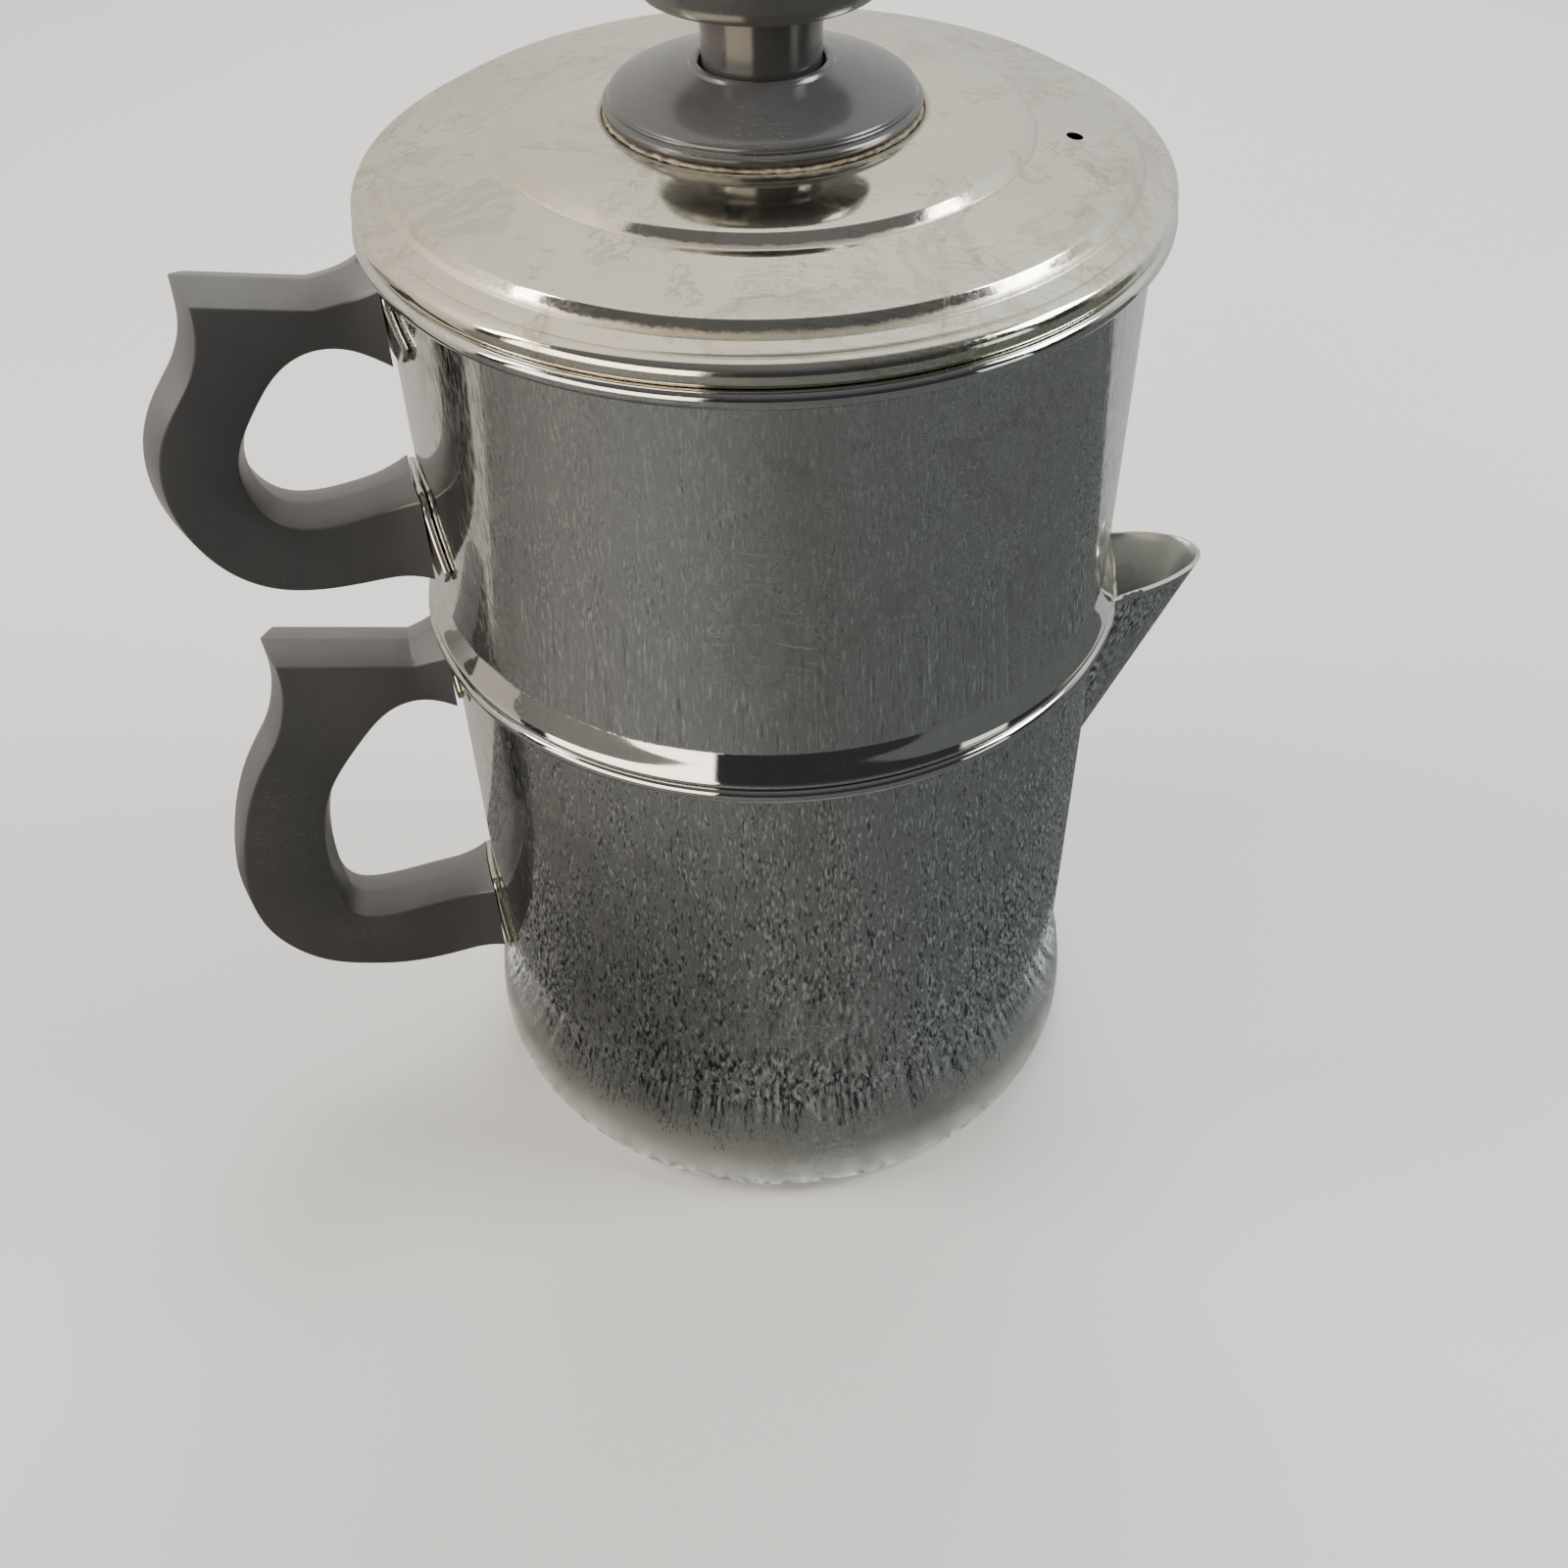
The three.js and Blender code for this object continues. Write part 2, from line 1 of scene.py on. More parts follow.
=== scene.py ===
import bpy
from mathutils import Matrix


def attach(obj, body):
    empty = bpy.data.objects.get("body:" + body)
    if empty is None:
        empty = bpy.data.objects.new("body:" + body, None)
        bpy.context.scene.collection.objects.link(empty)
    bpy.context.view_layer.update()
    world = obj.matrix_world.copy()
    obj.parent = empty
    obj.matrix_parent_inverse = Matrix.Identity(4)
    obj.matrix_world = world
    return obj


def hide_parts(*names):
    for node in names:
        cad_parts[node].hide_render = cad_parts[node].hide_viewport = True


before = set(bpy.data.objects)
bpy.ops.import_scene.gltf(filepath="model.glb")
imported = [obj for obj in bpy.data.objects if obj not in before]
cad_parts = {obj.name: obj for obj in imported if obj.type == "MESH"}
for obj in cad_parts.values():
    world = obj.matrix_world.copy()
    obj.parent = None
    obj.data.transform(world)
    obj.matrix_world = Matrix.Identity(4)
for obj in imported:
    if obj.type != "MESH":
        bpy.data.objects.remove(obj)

"""The looks of a two-tier stainless steel drip coffee pot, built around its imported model.

Sizes are in millimetres unless a name says otherwise, and every finished piece is in metres.
"""

import logging
import math
from collections.abc import Callable, Sequence
from dataclasses import dataclass, field
from enum import Enum

import bmesh
import bpy
from mathutils import Matrix, Vector

MM = 0.001
SHELL_SIDES = 160
KNOB_SIDES = 96
SMALL_SIDES = 40
SHEET = 0.8
WALL_RADIUS = 70.0

Point = tuple[float, float]
Outline = list[Point]
Socket = bpy.types.NodeSocket
Piece = bpy.types.Object

log = logging.getLogger("coffee_pot")


class Body(Enum):
    """The moving bodies of the pot, as the frame names them."""

    SERVER = "server"
    DRIPPER = "dripper"
    BASKET = "basket"
    SPREADER = "spreader"
    LID = "lid"


class Slot(Enum):
    """The record's material slots."""

    BODY_STEEL = "body_steel"
    INNER_STEEL = "inner_steel"
    LID_STEEL = "lid_steel"
    TRIM_STEEL = "trim_steel"
    WASHER_STEEL = "washer_steel"
    BAKELITE = "bakelite"


# ------------------------------------------------------------------ outlines


def arc(centre: Point, radius: float, start: float, end: float, steps: int) -> Outline:
    """Points along a circular arc.

    Args:
        centre: the arc's centre.
        radius: its radius.
        start: the first angle, in degrees.
        end: the last angle, in degrees.
        steps: how many equal steps it is cut into.

    Returns:
        The points, first and last included.
    """
    points = []
    for step in range(steps + 1):
        angle = math.radians(start + (end - start) * step / steps)
        points.append((centre[0] + radius * math.cos(angle), centre[1] + radius * math.sin(angle)))
    return points


def flowing(points: Sequence[Point], steps: int) -> Outline:
    """A smooth line through the given points.

    Args:
        points: what the line passes through.
        steps: how many pieces each span is cut into.

    Returns:
        The line's points, the given ones included.
    """
    line = []
    last = len(points) - 1
    for index in range(last):
        before, start = points[max(index - 1, 0)], points[index]
        end, after = points[index + 1], points[min(index + 2, last)]
        for step in range(steps):
            t = step / steps
            line.append(tuple(
                0.5 * (2 * b + (c - a) * t + (2 * a - 5 * b + 4 * c - d) * t * t
                       + (3 * b - a - 3 * c + d) * t ** 3)
                for a, b, c, d in zip(before, start, end, after)
            ))
    line.append(tuple(points[-1]))
    return line


def faired(points: Sequence[Point], spacing: float, passes: int) -> Outline:
    """A smooth line near the given points, evenly cut, with its ends held.

    Args:
        points: what the line follows.
        spacing: the length of each piece.
        passes: how often each point moves to the middle of its neighbours.

    Returns:
        The line's points.
    """
    dense = flowing(points, 12)
    length = sum(math.dist(a, b) for a, b in zip(dense, dense[1:]))
    count = max(round(length / spacing), 2)
    line, travelled, index = [dense[0]], 0.0, 0
    for step in range(1, count):
        goal = length * step / count
        while travelled + math.dist(dense[index], dense[index + 1]) < goal:
            travelled += math.dist(dense[index], dense[index + 1])
            index += 1
        start, end = dense[index], dense[index + 1]
        share = (goal - travelled) / math.dist(start, end)
        line.append(tuple(a + (b - a) * share for a, b in zip(start, end)))
    line.append(dense[-1])
    for _ in range(passes):
        inner = [
            ((a[0] + 2 * b[0] + c[0]) / 4, (a[1] + 2 * b[1] + c[1]) / 4)
            for a, b, c in zip(line, line[1:], line[2:])
        ]
        line = [line[0], *inner, line[-1]]
    return line


def between(line: Sequence[Point], x: float) -> float:
    """The height of a broken line at x.

    Args:
        line: points in rising order of x.
        x: where to read it.

    Returns:
        The height, held flat beyond both ends.
    """
    if x <= line[0][0]:
        return line[0][1]
    for (x0, y0), (x1, y1) in zip(line, line[1:]):
        if x <= x1:
            return y0 + (y1 - y0) * (x - x0) / (x1 - x0)
    return line[-1][1]


# ------------------------------------------------------------------ the bench


def deselect() -> None:
    """Leaves edit mode if need be and selects nothing."""
    if bpy.context.mode != "OBJECT":
        bpy.ops.object.mode_set(mode="OBJECT")
    bpy.ops.object.select_all(action="DESELECT")


def take(piece: Piece) -> None:
    """Makes the piece the only selected and the active one.

    Args:
        piece: what is taken in hand.
    """
    deselect()
    piece.select_set(True)
    bpy.context.view_layer.objects.active = piece


def edit(piece: Piece) -> None:
    """Opens the piece in edit mode with everything selected.

    Args:
        piece: what is opened.
    """
    take(piece)
    bpy.ops.object.mode_set(mode="EDIT")
    bpy.ops.mesh.select_all(action="SELECT")


def named(name: str) -> Piece:
    """Names the primitive just added and puts its place into its mesh.

    Args:
        name: the new name.

    Returns:
        The primitive.
    """
    piece = bpy.context.active_object
    piece.name = name
    piece.data.name = name
    bpy.ops.object.transform_apply(location=True, rotation=True, scale=True)
    return piece


def pick_points(piece: Piece, wanted: Callable[[Vector], bool]) -> None:
    """Selects the points of the piece in edit mode that the test wants, and no others.

    Args:
        piece: the piece in edit mode.
        wanted: tells from a point's place, in millimetres, whether it is wanted.
    """
    bpy.ops.mesh.select_mode(type="VERT")
    mesh = bmesh.from_edit_mesh(piece.data)
    for point in mesh.verts:
        point.select_set(wanted(point.co / MM))
    mesh.select_flush_mode()
    bmesh.update_edit_mesh(piece.data)


def finish_shell(piece: Piece, angle: float = 32.0) -> Piece:
    """Merges doubles, points the faces outwards and shades the piece smooth.

    Args:
        piece: a closed piece.
        angle: edges sharper than this many degrees stay sharp.

    Returns:
        The same piece.
    """
    edit(piece)
    bpy.ops.mesh.remove_doubles(threshold=1e-6)
    bpy.ops.mesh.normals_make_consistent(inside=False)
    deselect()
    take(piece)
    bpy.ops.object.shade_smooth_by_angle(angle=math.radians(angle))
    deselect()
    return piece


def modify(piece: Piece, kind: str, **settings: object) -> None:
    """Adds a modifier and applies it.

    Args:
        piece: what it acts on.
        kind: the modifier's type.
        **settings: its properties.
    """
    take(piece)
    modifier = piece.modifiers.new(kind.title(), kind)
    for key, value in settings.items():
        setattr(modifier, key, value)
    bpy.ops.object.modifier_apply(modifier=modifier.name)


def carve(piece: Piece, cutter: Piece) -> None:
    """Cuts the cutter's shape out of the piece and throws the cutter away.

    Args:
        piece: what is cut.
        cutter: a closed piece.
    """
    modify(piece, "BOOLEAN", object=cutter, operation="DIFFERENCE", solver="EXACT")
    bpy.data.objects.remove(cutter)


def raised(name: str, profile: Sequence[Point], sides: int) -> Piece:
    """A round piece drawn up ring by ring around the pot's axis.

    A profile point of radius 0 closes the piece on the axis, and a profile that ends where it
    starts makes a ring with an opening through it.

    Args:
        name: the piece's name.
        profile: [radius, height] of each ring, in order round the section.
        sides: how many sides each ring has.

    Returns:
        The closed piece, shaded smooth.
    """
    on_axis = profile[0][0] == 0
    radius, height = profile[1] if on_axis else profile[0]
    deselect()
    bpy.ops.mesh.primitive_circle_add(
        vertices=sides, radius=radius * MM, location=(0, 0, height * MM),
        fill_type="TRIFAN" if on_axis else "NOTHING",
    )
    piece = named(name)
    edit(piece)
    if on_axis:
        pick_points(piece, lambda place: math.hypot(place.x, place.y) < radius / 2)
        bpy.ops.transform.translate(value=(0, 0, (profile[0][1] - height) * MM))
        start = radius
        pick_points(piece, lambda place: math.hypot(place.x, place.y) > start / 2)
    for next_radius, next_height in profile[2 if on_axis else 1:]:
        rise = (0, 0, (next_height - height) * MM)
        bpy.ops.mesh.extrude_region_move(TRANSFORM_OT_translate={"value": rise})
        if next_radius == 0:
            bpy.ops.mesh.merge(type="CENTER")
            break
        scale = next_radius / radius
        if abs(scale - 1) > 1e-9:
            middle = (0, 0, next_height * MM)
            bpy.ops.transform.resize(value=(scale, scale, 1), center_override=middle)
        radius, height = next_radius, next_height
    return finish_shell(piece)


def stacked(name: str, rings: Sequence[Sequence[Vector]]) -> Piece:
    """A solid drawn from one flat outline through others with the same number of points.

    Args:
        name: the piece's name.
        rings: the outlines in order, in millimetres.

    Returns:
        The closed piece.
    """
    deselect()
    bpy.ops.mesh.primitive_circle_add(vertices=len(rings[0]), radius=MM, fill_type="NGON")
    piece = named(name)
    for point, place in zip(piece.data.vertices, rings[0]):
        point.co = place * MM
    edit(piece)
    for before, after in zip(rings, rings[1:]):
        bpy.ops.mesh.extrude_region_move(TRANSFORM_OT_translate={"value": (0, 0, 0)})
        moved = {tuple(round(v, 7) for v in old * MM): new * MM for old, new in zip(before, after)}
        mesh = bmesh.from_edit_mesh(piece.data)
        for point in mesh.verts:
            if point.select:
                point.co = moved[tuple(round(v, 7) for v in point.co)]
        bmesh.update_edit_mesh(piece.data)
    deselect()
    return piece


def bar(name: str, outline: Sequence[Point], low: float, high: float, axis: str) -> Piece:
    """A straight cutter with the given outline.

    Args:
        name: the piece's name.
        outline: its corners: (x, y) for axis Z, and (y, z) for axis X.
        low: where it starts along the axis.
        high: where it ends.
        axis: "X" or "Z".

    Returns:
        The closed bar.
    """
    def place(a: float, b: float, along: float) -> Vector:
        """A corner at the given place along the bar."""
        return Vector((along, a, b)) if axis == "X" else Vector((a, b, along))

    rings = [[place(a, b, along) for a, b in outline] for along in (low, high)]
    return finish_shell(stacked(name, rings))


# ------------------------------------------------------------------ shader nodes


class Bench:
    """Lays out the nodes of one tree.

    Args:
        tree: the node tree that is filled.
    """

    def __init__(self, tree: bpy.types.NodeTree) -> None:
        """Keeps the tree."""
        self.tree = tree

    def put(self, kind: str, inputs: dict | None = None, **settings: object) -> bpy.types.Node:
        """Adds a node.

        Args:
            kind: the node's type.
            inputs: values or sockets for its inputs, by name or number.
            **settings: its properties.

        Returns:
            The node.
        """
        node = self.tree.nodes.new(kind)
        for key, value in settings.items():
            setattr(node, key, value)
        for key, value in (inputs or {}).items():
            if isinstance(value, bpy.types.NodeSocket):
                self.tree.links.new(value, node.inputs[key])
            else:
                node.inputs[key].default_value = value
        return node

    def sum(self, operation: str, *values: float | Socket, clamp: bool = False) -> Socket:
        """The result of a Math node on the given values.

        Args:
            operation: what the node does with them.
            *values: the numbers or sockets it works on.
            clamp: whether the result is held between 0 and 1.

        Returns:
            The result.
        """
        node = self.put("ShaderNodeMath", dict(enumerate(values)), operation=operation)
        node.use_clamp = clamp
        return node.outputs[0]

    def ramp(self, value: Socket, low: float, high: float, to_low: float = 0.0,
             to_high: float = 1.0) -> Socket:
        """Maps a value smoothly from one range to another, held at the ends.

        Args:
            value: what is mapped.
            low: where the range starts.
            high: where it ends.
            to_low: the result at the start.
            to_high: the result at the end.

        Returns:
            The mapped value.
        """
        inputs = {"Value": value, "From Min": low, "From Max": high,
                  "To Min": to_low, "To Max": to_high}
        node = self.put("ShaderNodeMapRange", inputs, interpolation_type="SMOOTHSTEP")
        return node.outputs["Result"]

    def blend(self, share: float | Socket, first: tuple | Socket,
              second: tuple | Socket) -> Socket:
        """A colour between two others.

        Args:
            share: 0 for the first, 1 for the second.
            first: the first colour.
            second: the second colour.

        Returns:
            The mixed colour.
        """
        node = self.put("ShaderNodeMix", data_type="RGBA")
        for socket, value in zip((node.inputs[0], node.inputs[6], node.inputs[7]),
                                 (share, first, second)):
            if isinstance(value, bpy.types.NodeSocket):
                self.tree.links.new(value, socket)
            else:
                socket.default_value = value
        return node.outputs[2]

    def noise(self, vector: Socket, scale: float | Socket, detail: float = 2.0,
              roughness: float = 0.5, distortion: float = 0.0) -> Socket:
        """A noise value over the given coordinates.

        Args:
            vector: the coordinates.
            scale: how fine the noise is, per metre.
            detail: how many finer layers it has.
            roughness: how strong the finer layers are.
            distortion: how much it is stirred.

        Returns:
            The value.
        """
        inputs = {"Vector": vector, "Scale": scale, "Detail": detail,
                  "Roughness": roughness, "Distortion": distortion}
        return self.put("ShaderNodeTexNoise", inputs).outputs["Fac"]

    def stretched(self, vector: Socket, factors: tuple[float, float, float],
                  turn: tuple[float, float, float] = (0.0, 0.0, 0.0)) -> Socket:
        """Coordinates turned and then scaled on each axis.

        Args:
            vector: the coordinates.
            factors: the scale on each axis.
            turn: the turn about each axis, in degrees.

        Returns:
            The new coordinates.
        """
        inputs = {"Vector": vector, "Rotation": tuple(math.radians(a) for a in turn)}
        turned = self.put("ShaderNodeMapping", inputs).outputs[0]
        scaled = self.put("ShaderNodeMapping", {"Vector": turned, "Scale": factors})
        return scaled.outputs[0]

    def group(self, name: str, **inputs: object) -> bpy.types.Node:
        """Places a shared effect.

        Args:
            name: the effect's name.
            **inputs: its values, by input name with spaces written as underscores.

        Returns:
            The group node.
        """
        node = self.tree.nodes.new("ShaderNodeGroup")
        node.node_tree = bpy.data.node_groups[name]
        for key, value in inputs.items():
            socket = node.inputs[key.replace("_", " ")]
            if isinstance(value, bpy.types.NodeSocket):
                self.tree.links.new(value, socket)
            else:
                socket.default_value = value
        return node


@dataclass
class Effect:
    """A shared look that several finishes use, kept as a node group.

    Attributes:
        name: the group's name.
        inputs: its number inputs and their usual values.
        outputs: its outputs.
    """

    name: str
    inputs: dict[str, float]
    outputs: tuple[str, ...]

    def open(self) -> tuple[Bench, bpy.types.Node, bpy.types.Node]:
        """Makes the empty group.

        Returns:
            Its bench, its input node and its output node.
        """
        tree = bpy.data.node_groups.new(self.name, "ShaderNodeTree")
        tree.interface.new_socket("Vector", in_out="INPUT", socket_type="NodeSocketVector")
        for key, value in self.inputs.items():
            socket = tree.interface.new_socket(key, in_out="INPUT", socket_type="NodeSocketFloat")
            socket.default_value = value
        for key in self.outputs:
            tree.interface.new_socket(key, in_out="OUTPUT", socket_type="NodeSocketFloat")
        bench = Bench(tree)
        return bench, bench.put("NodeGroupInput"), bench.put("NodeGroupOutput")


def make_streaks() -> None:
    """The fine upright grain of a polished wall: Grain, Bands and Height."""
    bench, given, out = Effect(
        "upright_grain", {"Density": 1250.0, "Length": 6.0}, ("Grain", "Bands", "Height")
    ).open()
    rise = bench.sum("DIVIDE", given.outputs["Density"], given.outputs["Length"])
    scale = bench.put("ShaderNodeCombineXYZ", {
        "X": given.outputs["Density"], "Y": given.outputs["Density"], "Z": rise})
    scaled = bench.put("ShaderNodeVectorMath", {
        0: given.outputs["Vector"], 1: scale.outputs[0]}, operation="MULTIPLY").outputs[0]
    grain = bench.noise(scaled, 1.0, 3.0, 0.6)
    wide = bench.stretched(given.outputs["Vector"], (1.0, 1.0, 0.06))
    bands = bench.noise(wide, 90.0, 3.0, 0.55)
    fine = bench.stretched(given.outputs["Vector"], (1.0, 1.0, 0.012))
    lines = bench.noise(fine, 2600.0, 2.0, 0.7)
    links = bench.tree.links
    links.new(bench.ramp(grain, 0.32, 0.68), out.inputs["Grain"])
    links.new(bench.ramp(bands, 0.3, 0.7), out.inputs["Bands"])
    links.new(bench.sum("MULTIPLY_ADD", lines, 0.6, bench.sum("MULTIPLY", grain, 0.4)),
              out.inputs["Height"])


def make_scratches() -> None:
    """Straight hairline scratches in three directions, gathered in patches: Scratch."""
    bench, given, out = Effect(
        "hairline_scratches", {"Density": 2200.0, "Cover": 0.66, "Patches": 30.0}, ("Scratch",)
    ).open()
    found = None
    for turn in ((8.0, 84.0, 25.0), (-12.0, 74.0, -40.0), (20.0, 12.0, 65.0)):
        along = bench.stretched(given.outputs["Vector"], (1.0, 1.0, 0.025), turn)
        line = bench.noise(along, given.outputs["Density"], 0.0)
        high = bench.sum("ADD", given.outputs["Cover"], 0.1)
        thin = bench.ramp(line, given.outputs["Cover"], high)
        patch = bench.noise(given.outputs["Vector"], given.outputs["Patches"], 3.0, 0.6)
        mark = bench.sum("MULTIPLY", thin, bench.ramp(patch, 0.46, 0.62))
        found = mark if found is None else bench.sum("MAXIMUM", found, mark)
    bench.tree.links.new(found, out.inputs["Scratch"])


def make_stains() -> None:
    """Dried water marks with darker rims: Stain and Rim."""
    bench, given, out = Effect(
        "water_marks", {"Size": 28.0, "Cover": 0.52}, ("Stain", "Rim")
    ).open()
    blot = bench.noise(given.outputs["Vector"], given.outputs["Size"], 5.0, 0.62, 0.5)
    edge = bench.sum("ADD", given.outputs["Cover"], 0.03)
    stain = bench.ramp(blot, given.outputs["Cover"], edge)
    far = bench.ramp(blot, edge, bench.sum("ADD", edge, 0.035))
    links = bench.tree.links
    links.new(stain, out.inputs["Stain"])
    links.new(bench.sum("SUBTRACT", stain, far, clamp=True), out.inputs["Rim"])


def make_band() -> None:
    """A ragged band round the pot's axis, for dirt that gathers in a groove: Band."""
    bench, given, out = Effect(
        "groove_band", {"Radius": 0.03, "Width": 0.002, "Raggedness": 0.6}, ("Band",)
    ).open()
    split = bench.put("ShaderNodeSeparateXYZ", {0: given.outputs["Vector"]})
    across = bench.sum("SQRT", bench.sum(
        "ADD", bench.sum("MULTIPLY", split.outputs[0], split.outputs[0]),
        bench.sum("MULTIPLY", split.outputs[1], split.outputs[1])))
    off = bench.sum("ABSOLUTE", bench.sum("SUBTRACT", across, given.outputs["Radius"]))
    ragged = bench.sum("MULTIPLY", bench.noise(given.outputs["Vector"], 420.0, 4.0, 0.65), 2.0)
    share = bench.sum("MULTIPLY_ADD", bench.sum("SUBTRACT", ragged, 1.0),
                      given.outputs["Raggedness"], 1.0)
    reach = bench.sum("MULTIPLY", given.outputs["Width"], share)
    band = bench.sum("SUBTRACT", 1.0, bench.sum("DIVIDE", off, reach), clamp=True)
    bench.tree.links.new(band, out.inputs["Band"])


def make_dust_and_sheen() -> None:
    """A lightening film on what faces up, partly dusty and partly a painted sheen, and specks of
    lint: DustAndSheen and Specks.
    """
    bench, given, out = Effect(
        "upfacing_dust_and_sheen", {"Amount": 0.5}, ("DustAndSheen", "Specks")
    ).open()
    facing = bench.put("ShaderNodeSeparateXYZ", {0: bench.put("ShaderNodeNewGeometry").outputs[1]})
    up = bench.ramp(facing.outputs[2], 0.1, 0.9)
    veil = bench.noise(given.outputs["Vector"], 160.0, 5.0, 0.7)
    # Painted sheen: faces that look up get a lightening film, partly dusty and partly painted
    # light.
    dust_and_sheen = bench.sum("MULTIPLY", up, bench.ramp(veil, 0.3, 0.75, 0.72, 1.0))
    cells = bench.put("ShaderNodeTexVoronoi", {"Vector": given.outputs["Vector"], "Scale": 520.0})
    speck = bench.ramp(cells.outputs["Distance"], 0.02, 0.12, 1.0, 0.0)
    rare = bench.ramp(bench.noise(given.outputs["Vector"], 75.0, 1.0), 0.66, 0.72)
    links = bench.tree.links
    links.new(bench.sum("MULTIPLY", dust_and_sheen, given.outputs["Amount"]), out.inputs["DustAndSheen"])
    links.new(bench.sum("MULTIPLY", speck, rare), out.inputs["Specks"])


# ------------------------------------------------------------------ finishes


def colour(red: float, green: float, blue: float) -> tuple[float, float, float, float]:
    """A solid colour as the shader sockets take it."""
    return (red, green, blue, 1.0)


@dataclass(frozen=True)
class Finish:
    """What every finish has in common.

    Attributes:
        name: the material's name.
    """

    name: str

    def start(self) -> tuple[bpy.types.Material, Bench, Socket, bpy.types.Node]:
        """Opens a new material.

        Returns:
            The material, its bench, the object coordinates and the main shader.
        """
        material = bpy.data.materials.new(self.name)
        material.use_nodes = True
        material.node_tree.nodes.clear()
        bench = Bench(material.node_tree)
        shader = bench.put("ShaderNodeBsdfPrincipled")
        surface = bench.put("ShaderNodeOutputMaterial")
        bench.tree.links.new(shader.outputs[0], surface.inputs["Surface"])
        place = bench.put("ShaderNodeTexCoord").outputs["Object"]
        centred = bench.put("ShaderNodeMapping", {"Vector": place}).outputs[0]
        return material, bench, centred, shader

    def relief(self, bench: Bench, shader: bpy.types.Node, height: Socket, strength: float,
               depth: float) -> None:
        """Bends the shader's normal by a height.

        Args:
            bench: the material's bench.
            shader: the main shader.
            height: the height socket.
            strength: how much of it shows.
            depth: the height of a full step, in metres.
        """
        inputs = {"Height": height, "Strength": strength, "Distance": depth}
        normal = bench.put("ShaderNodeBump", inputs).outputs["Normal"]
        bench.tree.links.new(normal, shader.inputs["Normal"])


@dataclass(frozen=True)
class WallSteel(Finish):
    """Polished wall steel with an upright grain, haze, faint water marks and scratches.

    Attributes:
        tint: the steel's colour.
        shade: the colour of its darker grain.
        smooth: roughness of the clear streaks.
        hazy: roughness of the worn streaks.
        density: how fine the grain is, per metre.
        scratches: how strong the scratches show.
        foot_wear_and_sheen: how worn the foot is and how much painted sheen lightens it, 0 to 1.
    """

    tint: tuple = colour(0.66, 0.655, 0.62)
    shade: tuple = colour(0.54, 0.54, 0.52)
    smooth: float = 0.04
    hazy: float = 0.26
    density: float = 1700.0
    scratches: float = 0.5
    foot_wear_and_sheen: float = 0.75

    def material(self) -> bpy.types.Material:
        """Builds the material.

        Returns:
            The new material.
        """
        material, bench, place, shader = self.start()
        grain = bench.group("upright_grain", Vector=place, Density=self.density)
        marks = bench.group("hairline_scratches", Vector=place, Density=2200.0, Cover=0.7,
                            Patches=26.0)
        stain = bench.group("water_marks", Vector=place, Size=26.0, Cover=0.55)
        split = bench.put("ShaderNodeSeparateXYZ", {0: place})
        level = bench.put("ShaderNodeCombineXYZ", {"X": split.outputs[0], "Y": split.outputs[1]})
        reach = bench.put("ShaderNodeVectorMath", {0: level.outputs[0]}, operation="LENGTH")
        rolled = bench.sum("MULTIPLY", bench.ramp(reach.outputs["Value"], 0.07006, 0.0703),
                           bench.ramp(split.outputs[2], 0.045, 0.06))
        kept = bench.ramp(rolled, 0.0, 1.0, 1.0, 0.25)
        foot = bench.ramp(split.outputs[2], 0.006, 0.032, self.foot_wear_and_sheen, 0.0)
        scratch = bench.sum("MULTIPLY", marks.outputs["Scratch"], self.scratches)
        worn = bench.sum("MULTIPLY_ADD", grain.outputs["Bands"], 0.3,
                         bench.sum("MULTIPLY", grain.outputs["Grain"], 0.7))
        worn = bench.sum("MULTIPLY_ADD", worn, kept, foot, clamp=True)
        base = bench.blend(worn, self.tint, self.shade)
        # Painted sheen: the foot is lightened towards paler steel, partly rubbed wear and partly
        # painted light.
        base = bench.blend(foot, base, colour(0.74, 0.72, 0.67))
        base = bench.blend(bench.sum("MULTIPLY", stain.outputs["Rim"], 0.22), base,
                           colour(0.30, 0.27, 0.22))
        base = bench.blend(scratch, base, colour(0.80, 0.80, 0.78))
        bench.tree.links.new(base, shader.inputs["Base Color"])
        shader.inputs["Metallic"].default_value = 1.0
        rough = bench.ramp(worn, 0.35, 0.85, self.smooth, self.hazy)
        rough = bench.sum("MULTIPLY_ADD", stain.outputs["Stain"], 0.03, rough)
        rough = bench.sum("MULTIPLY_ADD", foot, 0.22, rough)
        rough = bench.sum("MULTIPLY_ADD", scratch, 0.35, rough, clamp=True)
        bench.tree.links.new(rough, shader.inputs["Roughness"])
        height = bench.sum("MULTIPLY_ADD", scratch, -0.6, grain.outputs["Height"])
        self.relief(bench, shader, height, 0.3, 0.000008)
        return material


